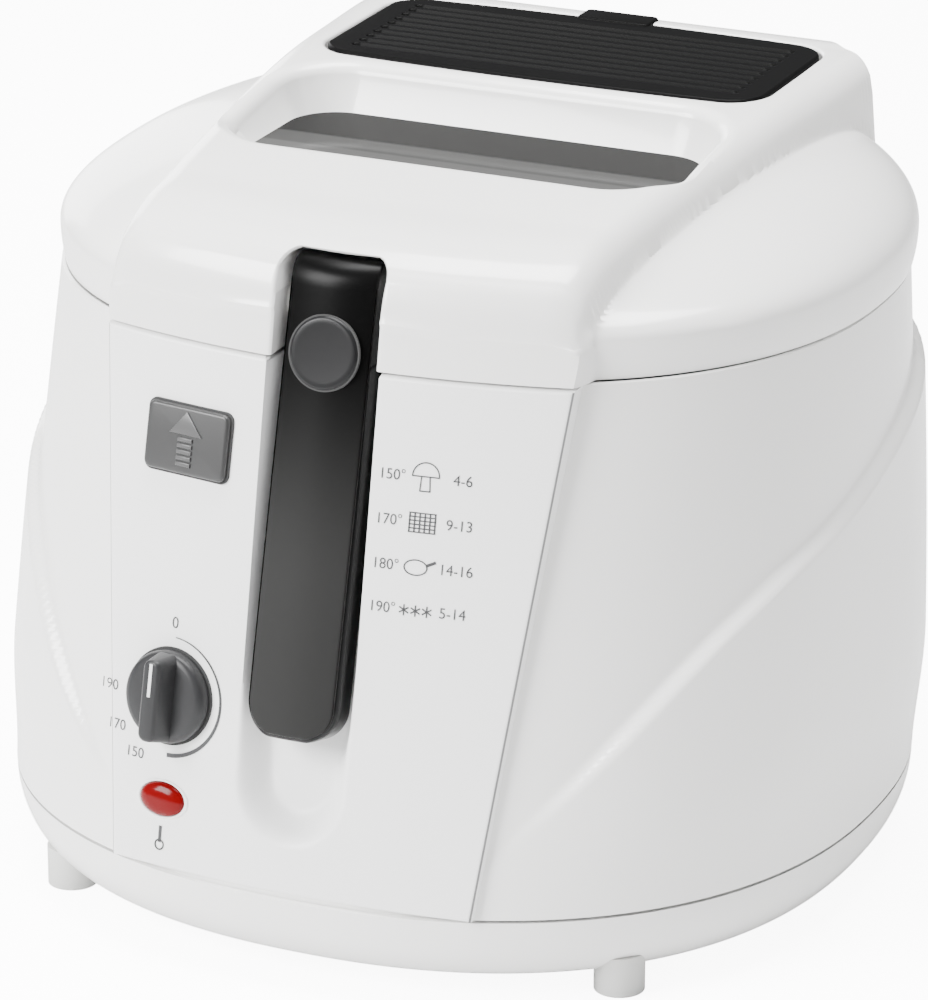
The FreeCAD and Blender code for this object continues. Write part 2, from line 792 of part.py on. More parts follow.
node(box("Terminals", (
    ("inlet_x - terminal_far", "inlet_x - terminal_near"),
    ("terminal_front", "terminal_rear"),
    ("base_bottom + wall", "base_bottom + wall + terminal_tall"))), "terminal_block")

inlet_back = outer.common(inlet_hole).BoundBox.YMax
flange = cylinder(
    "InletFlange", "inlet_radius + inlet_flange", "inlet_flange",
    ("inlet_x", str(inlet_back), "inlet_height"), "y")
barrel = cylinder(
    "InletBarrel", "inlet_radius", "inlet_length",
    ("inlet_x", "%s - inlet_length + inlet_overlap" % inlet_back, "inlet_height"), "y")
bore = cylinder(
    "InletBore", "inlet_radius - inlet_wall", "inlet_bore_length",
    ("inlet_x", "%s - inlet_bore_back" % inlet_back, "inlet_height"), "y")
node(cut("Inlet", fuse("InletBody", flange, barrel), bore), "cord_inlet")

# Lid shell with its window well, filter seat, handle notch and hinge lugs.

lid_outer = lid_solid()
lid_inner = lid_solid(size("lid_wall"))
glass_low = size("glass_level") - size("seal_thickness")
ledge_low = glass_low - size("ledge_thickness")
window = rounded_plan(
    size("window_half"), -size("window_front"), size("window_rear"), size("window_corner"), glass_low, FAR)
well = rounded_plan(
    size("window_half") + size("lid_wall"), -size("window_front") - size("lid_wall"),
    size("window_rear") + size("lid_wall"), size("window_corner") + size("lid_wall"), ledge_low, FAR)
sight = rounded_plan(
    size("window_half") - size("glass_ledge"), -size("window_front") + size("glass_ledge"),
    size("window_rear") - size("glass_ledge"), size("window_corner") - size("glass_ledge"), 0.0, FAR)
seat_level = size("filter_cover_top") - size("filter_cover_thickness")
gap = size("fit_gap")
front_room = size("filter_front") - size("filter_front_gap")
filter_room = rounded_plan(
    size("filter_half") + gap, front_room, size("filter_rear") + gap, size("filter_corner"),
    seat_level - gap, FAR)
filter_axis_y = size("filter_front") + size("filter_axis_in")
filter_axis_z = size("filter_cover_top") - size("filter_axis_down")
bore_half = size("filter_half") + size("filter_bore_out")
filter_bore = rod(
    size("filter_pin_radius") + size("running_gap"), 2 * bore_half,
    Vector(-bore_half, filter_axis_y, filter_axis_z), ALONG_X)
tab_half = size("filter_tab_half") + gap
tab_end = size("filter_rear") + size("filter_tab_reach")
tab_room = block(
    -tab_half, tab_half, size("filter_rear") - size("tab_room_in"), tab_end + size("tab_room_out"),
    seat_level - size("tab_room_down"), FAR)
tray_wall = size("filter_tray_wall")
tray_half = size("filter_half") - size("filter_tray_in")
tray_front = size("filter_front") + size("filter_tray_in")
tray_rear = size("filter_rear") - size("filter_tray_rear_in")
tray_hole = block(-tray_half - gap, tray_half + gap, tray_front - gap, tray_rear + gap, 0.0, FAR)
notch = block(
    -size("notch_half"), size("notch_half"), -FAR, -size("notch_back"), 0.0, size("notch_top"))
rear_low = block(
    -gap_half, gap_half, size("hinge_room_front"), FAR, 0.0, size("hinge_height") + size("hinge_room_rise"))
raised = size("rim_height") + size("rear_rim_rise") + size("seam_gap")
rear_sides = block(-FAR, FAR, size("rear_rim_start") - size("seam_gap"), FAR, 0.0, raised)
seat_wall = size("seat_wall")
seat = rounded_plan(
    size("filter_half") + seat_wall, size("filter_front") - seat_wall, size("filter_rear") + seat_wall,
    size("seat_corner"), seat_level - seat_wall, FAR)

lugs = []
lug_in = size("hinge_barrel_half") + size("hinge_side_gap")
lug_out = lug_in + size("hinge_lug_width")
back = size("hinge_back")
height = size("hinge_height")
for low, high in ((-lug_out, -lug_in), (lug_in, lug_out)):
    web = block(low, high, back - size("hinge_barrel_radius"), back + size("lug_back"), height, FAR)
    eye = rod(size("hinge_barrel_radius"), size("hinge_lug_width"), Vector(low, back, height), ALONG_X)
    lugs.append(web.common(lid_outer).fuse(eye))
pin_bore_radius = size("hinge_pin_radius") + size("running_gap")
pin_bore = rod(pin_bore_radius, 2 * FAR, Vector(-FAR, back, height), ALONG_X)

lid_shape = lid_outer.cut(lid_inner)
lid_shape = lid_shape.fuse(well.common(lid_outer)).fuse(seat.common(lid_outer))
lid_shape = lid_shape.cut(rear_low).cut(rear_sides).cut(notch)
lid_shape = lid_shape.cut(window).cut(sight).cut(filter_room).cut(tab_room).cut(tray_hole)
lid_shape = lid_shape.fuse(lugs).cut(pin_bore).cut(filter_bore)
node(feature("Lid", largest(lid_shape)), "lid_shell")

glass = rounded_plan(
    size("window_half") - gap, -size("window_front") + gap, size("window_rear") - gap,
    size("window_corner") - gap, size("glass_level"), size("glass_level") + size("glass_thickness"))
node(feature("Glass", glass), "window_glass")
seal = rounded_plan(
    size("window_half") - gap, -size("window_front") + gap, size("window_rear") - gap,
    size("window_corner") - gap, glass_low, size("glass_level"))
node(feature("Seal", seal.cut(sight)), "window_seal")

liner_low = size("liner_level")
liner_top = liner_low + size("liner_thickness")
liner_rear = size("rear_rim_start") - size("liner_rear_gap")
liner_slab = block(-FAR, FAR, -FAR, liner_rear, liner_low, liner_top)
liner = liner_slab.common(lid_solid(size("lid_wall") + gap))
arm_side = size("notch_half") + size("arm_room_side")
arm_room = block(-arm_side, arm_side, -FAR, -size("arm_room_back"), 0.0, FAR)
steam_hole = rounded_plan(
    size("steam_half"), -size("steam_front"), size("steam_rear"), size("steam_corner"), 0.0, FAR)
catch_side = size("catch_room_half")
catch_room = block(controls - catch_side, controls + catch_side, -FAR, -size("catch_room_back"), 0.0, FAR)
liner_shape = liner.cut(arm_room).cut(steam_hole).cut(catch_room)
node(feature("Liner", largest(liner_shape)), "lid_liner")

gasket_ring = tube(
    "GasketRing", "bowl_top_radius + bowl_flange", "bowl_top_radius + bowl_flange - gasket_width",
    "liner_level - bowl_rim - fit_gap", ("0", "bowl_back", "bowl_rim + fit_gap"))
gasket_break = box("GasketBreak", (
    ("-notch_half - arm_room_side", "notch_half + arm_room_side"), ("-beyond", "0"), ("0", "beyond")))
gasket_rear = box("GasketRear", (
    ("-beyond", "beyond"), ("rear_rim_start - liner_rear_gap", "beyond"), ("0", "beyond")))
node(cut("Gasket", gasket_ring, gasket_break, gasket_rear), "lid_gasket")

# Filters under their hinged cover.

tray_low = size("filter_tray_floor")
tray_top = seat_level - gap
tray_box = block(-tray_half, tray_half, tray_front, tray_rear, tray_low, tray_top - seat_wall)
tray_space = block(
    -tray_half + tray_wall, tray_half - tray_wall, tray_front + tray_wall, tray_rear - tray_wall,
    tray_low + tray_wall, FAR)
tray_body = tray_box.cut(tray_space)
slots = []
slot_count = int(size("tray_slot_count"))
slot_half = size("tray_slot_half")
slot_in = size("tray_slot_in")
for index in range(slot_count):
    middle = (index - (slot_count - 1) / 2.0) * size("tray_slot_pitch")
    slots.append(block(
        middle - slot_half, middle + slot_half, tray_front + slot_in, tray_rear - slot_in,
        0.0, tray_low + tray_wall))
node(feature("FilterTray", tray_body.cut(slots)), "filter_tray")
pad_half = "filter_half - filter_tray_in - filter_tray_wall - fit_gap"
in_tray = (
    ("-(%s)" % pad_half, pad_half),
    ("filter_front + filter_tray_in + filter_tray_wall + fit_gap",
     "filter_rear - filter_tray_rear_in - filter_tray_wall - fit_gap"),
)
screen_low = "filter_tray_floor + filter_tray_wall"
pad_low = screen_low + " + filter_screen_thickness"
node(box("Screen", in_tray + ((screen_low, pad_low),)), "grease_filter")
node(box("Pad", in_tray + ((pad_low, pad_low + " + filter_pad_thickness"),)), "charcoal_filter")

cover = rounded_plan(
    size("filter_half"), size("filter_front"), size("filter_rear"), size("filter_corner") - gap,
    seat_level, size("filter_cover_top"))
tab = block(
    -size("filter_tab_half"), size("filter_tab_half"), size("filter_rear") - size("tab_overlap"), tab_end,
    seat_level - size("tab_down"), size("filter_cover_top"))
cover = cover.fuse(tab)
rib_count = int(size("filter_rib_count"))
rib_pitch = (size("filter_rear") - size("filter_front") - 2.0 * size("rib_in")) / rib_count
rib_side = size("filter_half") - size("rib_side_in")
rib_half = size("rib_share") * rib_pitch
rib_low = size("filter_cover_top") - size("rib_depth")
for index in range(rib_count):
    line = size("filter_front") + size("rib_in") + rib_pitch * (index + 1.0 / 2.0)
    cover = cover.cut(block(-rib_side, rib_side, line - rib_half, line + rib_half, rib_low, FAR))
pin_in = size("filter_pin_share") * size("filter_half")
pin_out = size("filter_half") + size("filter_pin_out")
pin_solids = []
for low in (-pin_out, pin_in):
    pin_start = Vector(low, filter_axis_y, filter_axis_z)
    pin_solids.append(rod(size("filter_pin_radius"), pin_out - pin_in, pin_start, ALONG_X))
node(feature("Cover", cover.cut(filter_bore)), "filter_cover")
node(feature("FilterPins", Part.Compound(pin_solids)), "filter_hinge_pins")

# Rear hinge.

barrel_span = ("-hinge_barrel_half", "hinge_back", "hinge_height")
barrel_body = tube(
    "HingeBarrel", "hinge_barrel_radius", "hinge_pin_radius + running_gap", "2 * hinge_barrel_half",
    barrel_span, "x")
barrel_foot = box("HingeFoot", (
    ("-hinge_barrel_half", "hinge_barrel_half"),
    ("hinge_back - hinge_foot_half", "hinge_back + hinge_foot_half"),
    ("bowl_rim - sheet_metal", "hinge_height - hinge_pin_radius - hinge_foot_gap")))
node(fuse("Barrel", barrel_body, barrel_foot), "hinge_barrel")
towers = []
pins = []
tower_in = "hinge_barrel_half + hinge_side_gap * 2 + hinge_lug_width"
for side in (-1, 1):
    low = tower_in if side > 0 else "-(%s) - hinge_tower_width" % tower_in
    wall_block = box("Tower%d" % side, (
        (low, low + " + hinge_tower_width"),
        ("hinge_back - hinge_barrel_radius", "hinge_back - tower_back_in"),
        ("bowl_rim - sheet_metal", "hinge_height")))
    eye = cylinder("TowerEye%d" % side, "hinge_barrel_radius", "hinge_tower_width",
                   (low, "hinge_back", "hinge_height"), "x")
    hole = cylinder("TowerHole%d" % side, "hinge_pin_radius + running_gap", "hinge_tower_width",
                    (low, "hinge_back", "hinge_height"), "x")
    towers.append(cut("TowerBody%d" % side, fuse("TowerBlock%d" % side, wall_block, eye), hole))
    pin_low = "hinge_barrel_half - hinge_pin_in" if side > 0 else "-(%s) - hinge_tower_width" % tower_in
    pins.append(cylinder(
        "HingePin%d" % side, "hinge_pin_radius",
        "%s + hinge_tower_width - hinge_barrel_half + hinge_pin_in" % tower_in,
        (pin_low, "hinge_back", "hinge_height"), "x"))
node(group("Towers", towers), "hinge_towers")
node(group("HingePins", pins), "hinge_pins")

# Lift handle, built hanging straight down from its pivot and then tilted.

half = size("handle_half")
front = -size("handle_face") + size("handle_face_thickness")
back_line = -size("handle_back")
length = size("handle_length")
wall = size("handle_wall")
head_radius = size("handle_head_radius")
bar = block(-half, half, front, back_line, -length, 0.0)


def foot_corners(shape, side, level):
    """The upright edges at the two lower corners of a bar."""
    edges = []
    for edge in shape.Edges:
        middle = edge.CenterOfMass
        if abs(middle.z - level) < NEAR and abs(abs(middle.x) - side) < NEAR:
            edges.append(edge)
    return edges


bar = bar.makeFillet(half * size("handle_corner_share"), foot_corners(bar, half, -length))
head_back = size("head_back")
head = rod(head_radius, 2 * half, Vector(-half, 0, 0), ALONG_X)
head = head.common(block(-half, half, front, head_back, -head_back, FAR))
hollow = block(
    -half + wall, half - wall, front + wall, FAR,
    -length + wall + size("hollow_foot"), head_radius - wall - size("hollow_head"))
drop = size("handle_button_drop")
reach = size("handle_button_radius")
button_axis = Vector(0, -FAR, -drop)
button_hole = rod(reach + size("button_gap"), FAR - size("button_hole_stop"), button_axis, INWARD)
pin_hole_radius = size("handle_pin_radius") + size("running_gap")
pin_hole = rod(pin_hole_radius, 2 * FAR, Vector(-FAR, 0, 0), ALONG_X)
button_seat_front = back_line - size("button_seat_wall")
button_seat = block(
    -half + wall, half - wall, button_seat_front, back_line,
    -drop - reach, -drop + size("button_seat_rise"))
rocker_path = size("rocker_back")
shaft_room = size("rocker_shaft_radius") + size("path_gap")
sector_room = rocker_path / 2.0 + size("path_gap")
kept_hub = rod(rocker_path / 2.0, 2 * half, Vector(-half, 0, 0), ALONG_X)
kept_cheek = rod(rocker_path - shaft_room, 2 * half, Vector(-half, 0, 0), ALONG_X)
sector_path = block(-half + wall, half - wall, -sector_room, FAR, 0.0, FAR).cut(kept_hub)
shaft_path = block(-half, half, -shaft_room - size("path_gap"), FAR, 0.0, FAR).cut(kept_cheek)
shell = bar.fuse(head).cut(hollow).cut(button_hole).fuse(button_seat).cut(pin_hole)
shell = shell.cut(sector_path).cut(shaft_path)

face_half = half - size("face_in")
face_low = -length + size("face_in")
face_high = head_radius * size("face_head_share")
face = block(-face_half, face_half, -size("handle_face"), front, face_low, face_high)
face = face.makeFillet(face_half * size("handle_corner_share"), foot_corners(face, face_half, face_low))
face = face.cut(button_hole)

cup_front = -size("handle_face") - size("handle_button_proud")
cup_wall = size("handle_button_wall")
cup_depth = size("handle_button_depth")
cup = rod(reach, cup_depth, Vector(0, cup_front, -drop), INWARD)
cup = cup.cut(rod(reach - cup_wall, cup_depth, Vector(0, cup_front + cup_wall, -drop), INWARD))
spring_start = Vector(0, cup_front + cup_wall + size("button_spring_lead"), -drop)
spring = rod(size("button_spring_radius"), button_seat_front - spring_start.y, spring_start, INWARD)
spring = spring.cut(rod(size("button_spring_bore"), FAR, spring_start, INWARD))

handle_place = Placement(
    Vector(0, -size("pivot_front"), size("pivot_height")), Rotation(Vector(1, 0, 0), -size("handle_tilt")))
for name, shape, label in (
        ("HandleShell", shell, "handle_shell"),
        ("HandleFace", face, "handle_face"),
        ("HandleButton", cup, "handle_button"),
        ("HandleSpring", spring, "handle_button_spring")):
    piece = feature(name, shape)
    piece.Placement = handle_place
    node(piece, label)

bracket_in = "groove_half + groove_wall + bracket_gap"
bracket_out = bracket_in + " + handle_bracket_thickness"
node(cylinder("HandlePin", "handle_pin_radius", "2 * (%s)" % bracket_out,
              ("-(%s)" % bracket_out, "-pivot_front", "pivot_height"), "x"), "handle_pin")
brackets = []
bushes = []
for side in (-1, 1):
    low = bracket_in if side > 0 else "-(%s)" % bracket_out
    strip = box("BracketStrip%d" % side, (
        (low, low + " + handle_bracket_thickness"),
        ("-pivot_front - bracket_front", "-pivot_front + bracket_rear"),
        ("bowl_rim - bracket_drop", "pivot_height")))
    eye = cylinder("BracketEye%d" % side, "bush_radius", "handle_bracket_thickness",
                   (low, "-pivot_front", "pivot_height"), "x")
    hole = cylinder("BracketHole%d" % side, "handle_pin_radius + running_gap", "handle_bracket_thickness",
                    (low, "-pivot_front", "pivot_height"), "x")
    bridge_bar = box("BracketBar%d" % side, (
        (low, low + " + handle_bracket_thickness"),
        ("-pivot_front", "-pivot_front + rocker_back"),
        ("pivot_height - bracket_bar_half", "pivot_height + bracket_bar_half")))
    rocker_spot = (low, "-pivot_front + rocker_back", "pivot_height")
    rocker_eye = cylinder(
        "RockerEye%d" % side, "rocker_eye_radius", "handle_bracket_thickness", rocker_spot, "x")
    rocker_hole = cylinder(
        "RockerHole%d" % side, "rocker_shaft_radius + running_gap", "handle_bracket_thickness",
        rocker_spot, "x")
    body = fuse("BracketBody%d" % side, strip, eye, bridge_bar, rocker_eye)
    brackets.append(cut("Bracket%d" % side, body, hole, rocker_hole))
    bush_low = "handle_half + fit_gap" if side > 0 else "-(%s) + fit_gap" % bracket_in
    bushes.append(tube(
        "Bush%d" % side, "bush_radius", "handle_pin_radius + running_gap",
        "%s - handle_half - 2 * fit_gap" % bracket_in, (bush_low, "-pivot_front", "pivot_height"), "x"))
node(group("Brackets", brackets), "handle_brackets")
node(group("Bushes", bushes), "pivot_bushes")

# A sector on the handle pin turns a second sector, whose rocker arms raise the basket by a cross pin.

node(cylinder("RockerShaft", "rocker_shaft_radius", "2 * (%s)" % bracket_out,
              ("-(%s)" % bracket_out, "-pivot_front + rocker_back", "pivot_height"), "x"), "rocker_shaft")
sector_radius = size("rocker_back") / 2.0 - size("sector_gap")
sector_low = size("sector_low")
sector_high = sector_low + size("sector_thickness")
sector_start = Vector(sector_low, 0, 0)
sector = rod(sector_radius, sector_high - sector_low, sector_start, ALONG_X)
sector_hub = rod(size("bush_radius"), half - wall - gap - sector_low, sector_start, ALONG_X)
drive = feature("HandleSector", sector.fuse(sector_hub).cut(pin_hole))
drive.Placement = handle_place
node(drive, "handle_sector")

arm_in = size("arm_inner")
arm_out = arm_in + size("arm_thickness")
depth = size("arm_half_depth")
arm_reach = size("arm_reach")
shaft_bore_radius = size("rocker_shaft_radius") + size("running_gap")
shaft_bore = rod(shaft_bore_radius, 2 * FAR, Vector(-FAR, 0, 0), ALONG_X)
hub_radius = size("rocker_eye_radius")
cheeks = []
for low, high in ((-arm_out, -arm_in), (arm_in, arm_out)):
    cheek = block(low, high, 0.0, arm_reach, -depth, depth)
    tip = rod(depth, high - low, Vector(low, arm_reach, 0), ALONG_X)
    hub = rod(hub_radius, high - low, Vector(low, 0, 0), ALONG_X)
    cheeks.append(cheek.fuse([tip, hub]))
collar = rod(hub_radius, sector_high - arm_in, Vector(arm_in, 0, 0), ALONG_X)
cross_pin = rod(size("cross_pin_radius"), 2 * arm_out, Vector(-arm_out, arm_reach, 0), ALONG_X)
arm_shape = sector.fuse(cheeks).fuse(collar).fuse(cross_pin).cut(shaft_bore)
arm = feature("LiftArm", arm_shape)
arm.Placement = Placement(
    Vector(0, -size("pivot_front") + size("rocker_back"), size("pivot_height")),
    Rotation(Vector(1, 0, 0), -size("arm_start")))
node(arm, "lift_arm")

basket = revolved("Basket", (
    ("0", "basket_floor"),
    ("basket_bottom_radius", "basket_floor"),
    ("basket_top_radius", "basket_rim"),
    ("basket_top_radius - basket_wall", "basket_rim"),
    ("basket_bottom_radius - basket_wall", "basket_floor + basket_wall"),
    ("0", "basket_floor + basket_wall"),
))
bind(basket, {"Placement.Base.y": "bowl_back"})
node(basket, "frying_basket")

tip_drop = "arm_reach * sin(arm_start)"
tip_height = "(pivot_height - %s)" % tip_drop
slot_top = "(%s + cross_pin_radius + fit_gap)" % tip_height
rocker = "-pivot_front + rocker_back"
slot_near = "(%s + arm_reach * cos(arm_start) - cross_pin_radius - slot_end_gap)" % rocker
slot_far = "(%s + arm_reach + cross_pin_radius + slot_end_gap)" % rocker
foot_bar = box("BasketFoot", (
    ("-basket_plate_half", "basket_plate_half"),
    ("bowl_back - basket_top_radius + fit_gap", slot_far + " + slot_margin"),
    ("basket_rim", "basket_rim + basket_foot_tall")))
upright = box("BasketPlate", (
    ("-basket_plate_half", "basket_plate_half"),
    (slot_near + " - slot_margin", slot_far + " + slot_margin"),
    ("basket_rim", slot_top + " + slot_roof")))
plate_body = fuse("BasketPlateBody", foot_bar, upright)
plate_slot = box("BasketSlot", (
    ("-beyond", "beyond"), (slot_near, slot_far), (slot_top + " - slot_rise", slot_top)))
node(cut("BasketBracket", plate_body, plate_slot), "basket_bracket")

# Controls, each built on a frame whose -Y points out of the panel.

knob_gap = size("knob_gap")
knob_depth = size("knob_depth")
knob_radius = size("knob_radius")
knob_start = Vector(0, -knob_gap, 0)
disc = Part.makeCone(knob_radius, knob_radius - size("knob_taper"), knob_depth, knob_start, OUTWARD)
grip_half = size("knob_grip_width") / 2.0
grip_foot = -knob_gap - knob_depth
grip_reach = knob_radius - size("knob_grip_in")
grip = block(
    -grip_half, grip_half, grip_foot - size("knob_grip_height"), grip_foot, -grip_reach, grip_reach)
grip_edges = [e for e in grip.Edges if e.CenterOfMass.y < grip_foot - NEAR]
grip = grip.makeFillet(size("knob_grip_round"), grip_edges)
shaft_radius = size("shaft_radius")
knob_shape = disc.fuse(grip).cut(rod(shaft_radius, knob_depth, knob_start, OUTWARD))
shaft_back = size("panel_wall") + size("thermostat_depth") / 2.0
shaft = rod(shaft_radius, shaft_back + knob_gap + knob_depth, Vector(0, shaft_back, 0), OUTWARD)
side = size("thermostat_side") / 2.0
thermostat_front = size("panel_wall") + size("thermostat_gap")
thermostat = block(-side, side, thermostat_front, thermostat_front + size("thermostat_depth"), -side, side)
nose_radius = shaft_radius + size("shaft_nose_wall")
nose_reach = size("panel_wall") + size("shaft_nose_reach")
nose = rod(nose_radius, nose_reach, Vector(0, thermostat_front, 0), OUTWARD)
thermostat_bore = rod(shaft_radius + size("running_gap"), FAR, Vector(0, shaft_back + gap, 0), OUTWARD)
thermostat = thermostat.fuse(nose).cut(thermostat_bore)

width = size("release_width") / 2.0
tall = size("release_tall") / 2.0
proud = size("release_proud")
release_depth = size("release_depth")
key_wall = size("release_wall")
cap = block(-width, width, -proud, release_depth - proud, -tall, tall)
cap_edges = [e for e in cap.Edges if abs(e.Vertexes[0].Y - e.Vertexes[-1].Y) > NEAR]
cap = cap.makeFillet(size("release_corner"), cap_edges)
cap = cap.cut(block(
    -width + key_wall, width - key_wall, -proud + key_wall, FAR, -tall + key_wall, tall - key_wall))
hook_face = release_depth - proud
hook_rise = size("hook_rise")
hook_half = size("hook_half")
hook_back = hook_face + size("hook_thickness")
barb_front = hook_face - size("barb_reach")
barb_low = hook_rise - size("barb_tall")
hook = block(-hook_half, hook_half, hook_face, hook_back, -tall, hook_rise)
barb = block(-hook_half, hook_half, barb_front, hook_back, barb_low, hook_rise)
latch = hook.fuse(barb)
spring_near = Vector(0, hook_back + size("release_travel") + gap, -size("release_spring_drop"))
spring_length = size("release_spring_length")
spring_far = spring_near.y + spring_length
release_spring = rod(size("release_spring_radius"), spring_length, spring_near, INWARD)
release_spring = release_spring.cut(rod(size("release_spring_bore"), spring_length, spring_near, INWARD))
leg_in = width + size("leg_gap")
leg_out = leg_in + size("leg_thickness")
leg_start = size("panel_wall") + size("leg_start_gap")
leg_tall = size("leg_half_tall")
bridge_back = spring_far + size("leg_thickness")
bridge = block(-leg_out, leg_out, spring_far, bridge_back, -leg_tall, leg_tall)
left_leg = block(-leg_out, -leg_in, leg_start, bridge_back, -leg_tall, leg_tall)
right_leg = block(leg_in, leg_out, leg_start, bridge_back, -leg_tall, leg_tall)
bridge = bridge.fuse([left_leg, right_leg])

barb_place = release_place.multVec(Vector(0, barb_front, barb_low))
ledge = block(
    controls - hook_half, controls + hook_half, -FAR, barb_place.y - size("catch_back_gap"),
    size("rim_height") + size("catch_rise"), barb_place.z - size("catch_gap"))
ledge = ledge.common(lid_solid(size("lid_wall") + size("catch_side_gap")))
node(feature("Catch", ledge.Solids[0]), "lid_catch")

lens = Part.Face(Part.Wire([
    Part.Ellipse(Vector(), size("lamp_half_width"), size("lamp_half_tall")).toShape()]))
lens_shape = lens.extrude(Vector(0, 0, size("lamp_depth")))
holder_start = size("lamp_depth") - size("lamp_proud")
lens_shape.Placement = Placement(Vector(0, holder_start, 0), Rotation(ALONG_X, 90))
holder = rod(size("lamp_half_tall"), size("lamp_holder_length"), Vector(0, holder_start, 0), INWARD)

for name, shape, label, frame in (
        ("Knob", knob_shape, "temperature_knob", knob_place),
        ("Shaft", shaft, "thermostat_shaft", knob_place),
        ("Thermostat", thermostat, "thermostat", knob_place),
        ("Release", cap, "release_button", release_place),
        ("Latch", latch, "latch_hook", release_place),
        ("ReleaseSpring", release_spring, "release_spring", release_place),
        ("Bridge", bridge, "latch_bracket", release_place),
        ("Lens", lens_shape, "lamp_lens", lamp_place),
        ("Holder", holder, "lamp_holder", lamp_place)):
    piece = feature(name, Part.Compound([shape]).Solids[0])
    piece.Placement = frame.multiply(piece.Placement)
    node(piece, label)

# Every object has to be sound before anything is written.

doc.recompute()
for item in doc.Objects:
    if "Invalid" in item.State or "Error" in item.State:
        raise RuntimeError("failed: " + item.Name)
for item in NODES:
    if item.Shape.isNull() or not item.Shape.isValid():
        raise RuntimeError("bad shape: " + item.Label)

os.makedirs("parts", exist_ok=True)
for item in NODES:
    item.Shape.exportStep(os.path.join("parts", item.Label + ".step"))
    limits = item.Shape.BoundBox
    print("%-22s solids %d  x %.1f %.1f  y %.1f %.1f  z %.1f %.1f" % (
        item.Label, len(item.Shape.Solids), limits.XMin, limits.XMax, limits.YMin, limits.YMax,
        limits.ZMin, limits.ZMax))
for name, frame in (("knob", knob_place), ("release", release_place), ("lamp", lamp_place)):
    out = frame.Rotation.multVec(Vector(0, -1, 0))
    print(name, "at", tuple(round(v, 3) for v in frame.Base), "outward", tuple(round(v, 5) for v in out))
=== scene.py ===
# %% [markdown]
# # A countertop deep fryer
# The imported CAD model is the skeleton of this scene. It gives every joint and every inner part.
# The large moulded shells are modelled again here, because soft plastic edges decide how it looks.

# %% Load the frame
import math
import bmesh
import bpy
import numpy as np
from mathutils import Matrix, Vector


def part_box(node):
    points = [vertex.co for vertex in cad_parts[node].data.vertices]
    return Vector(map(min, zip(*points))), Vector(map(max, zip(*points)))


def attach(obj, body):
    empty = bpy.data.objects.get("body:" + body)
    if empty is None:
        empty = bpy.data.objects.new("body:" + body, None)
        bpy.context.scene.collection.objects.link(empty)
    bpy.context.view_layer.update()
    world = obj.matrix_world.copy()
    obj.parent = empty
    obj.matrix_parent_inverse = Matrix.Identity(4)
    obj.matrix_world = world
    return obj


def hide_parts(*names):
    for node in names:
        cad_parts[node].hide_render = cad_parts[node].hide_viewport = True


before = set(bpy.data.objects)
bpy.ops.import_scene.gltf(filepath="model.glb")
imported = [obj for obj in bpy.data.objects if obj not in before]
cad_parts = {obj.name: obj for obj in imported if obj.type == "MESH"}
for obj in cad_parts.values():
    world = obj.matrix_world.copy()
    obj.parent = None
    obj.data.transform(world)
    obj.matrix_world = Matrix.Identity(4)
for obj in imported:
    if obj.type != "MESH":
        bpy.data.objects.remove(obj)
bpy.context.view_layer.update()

# %% [markdown]
# ## Tools for moulded shells
# A moulded shell is easiest to make from a flat grid that is wrapped round the object.
# A few small helpers do the wrapping, the soft steps and the smooth curves. All sizes are millimetres.

# %% Helpers for wrapping a grid
MILLIMETRE = 0.001
FRONT_ANGLE = -math.pi / 2


def wrap(bm, shape):
    """Moves each vertex to where a function of the grid's coordinates puts it."""
    places = np.array([v.co for v in bm.verts])
    x, y, z = shape(*places.T)
    for vert, place in zip(bm.verts, np.stack((x, y, z), axis=1)):
        vert.co = place


def grid(columns, rows):
    bm = bmesh.new()
    bmesh.ops.create_grid(bm, x_segments=columns, y_segments=rows, size=1.0)
    return bm


def soft_step(start, end, value):
    share = np.clip((value - start) / (end - start), 0.0, 1.0)
    return share * share * (3.0 - 2.0 * share)


def smooth_curve(points):
    """A curve without corners through points given as (place, height)."""
    places = np.array([p[0] for p in points], dtype=float)
    heights = np.array([p[1] for p in points], dtype=float)
    slopes = np.gradient(heights, places)

    def height_at(place):
        place = np.clip(place, places[0], places[-1])
        step = np.clip(np.searchsorted(places, place, side="right") - 1, 0, len(places) - 2)
        width = places[step + 1] - places[step]
        t = (place - places[step]) / width
        start = (1 + 2 * t) * (1 - t) ** 2 * heights[step] + t * (1 - t) ** 2 * width * slopes[step]
        end = t * t * (3 - 2 * t) * heights[step + 1] + t * t * (t - 1) * width * slopes[step + 1]
        return start + end
    return height_at


# %% Helpers for picking, extruding and cutting
def new_verts(result):
    return [g for g in result["geom"] if isinstance(g, bmesh.types.BMVert)]


def extruded_ring(bm, edges):
    """Extrudes open edges once, and gives the new vertices and the new edges."""
    result = bmesh.ops.extrude_edge_only(bm, edges=edges)
    return new_verts(result), [g for g in result["geom"] if isinstance(g, bmesh.types.BMEdge)]


def open_edges(bm, wanted=lambda vert: True):
    return [e for e in bm.edges if e.is_boundary and all(wanted(v) for v in e.verts)]


def faces_where(bm, wanted):
    """The faces whose middle passes a test."""
    return [f for f in bm.faces if wanted(f.calc_center_median())]


def cut_faces(bm, faces, place, out, near=0.0):
    """Cuts some faces along a plane and keeps both sides."""
    parts = dict.fromkeys(g for f in faces for g in (f, *f.edges, *f.verts))
    bmesh.ops.bisect_plane(bm, geom=list(parts), plane_co=place, plane_no=out, dist=near)


def step_inwards(verts, middle, inward, lift):
    """Moves vertices towards an upright axis at a place on the y axis, and upwards."""
    for vert in verts:
        towards = Vector((-vert.co.x, middle - vert.co.y, 0.0)).normalized()
        vert.co += towards * inward + Vector((0.0, 0.0, lift))


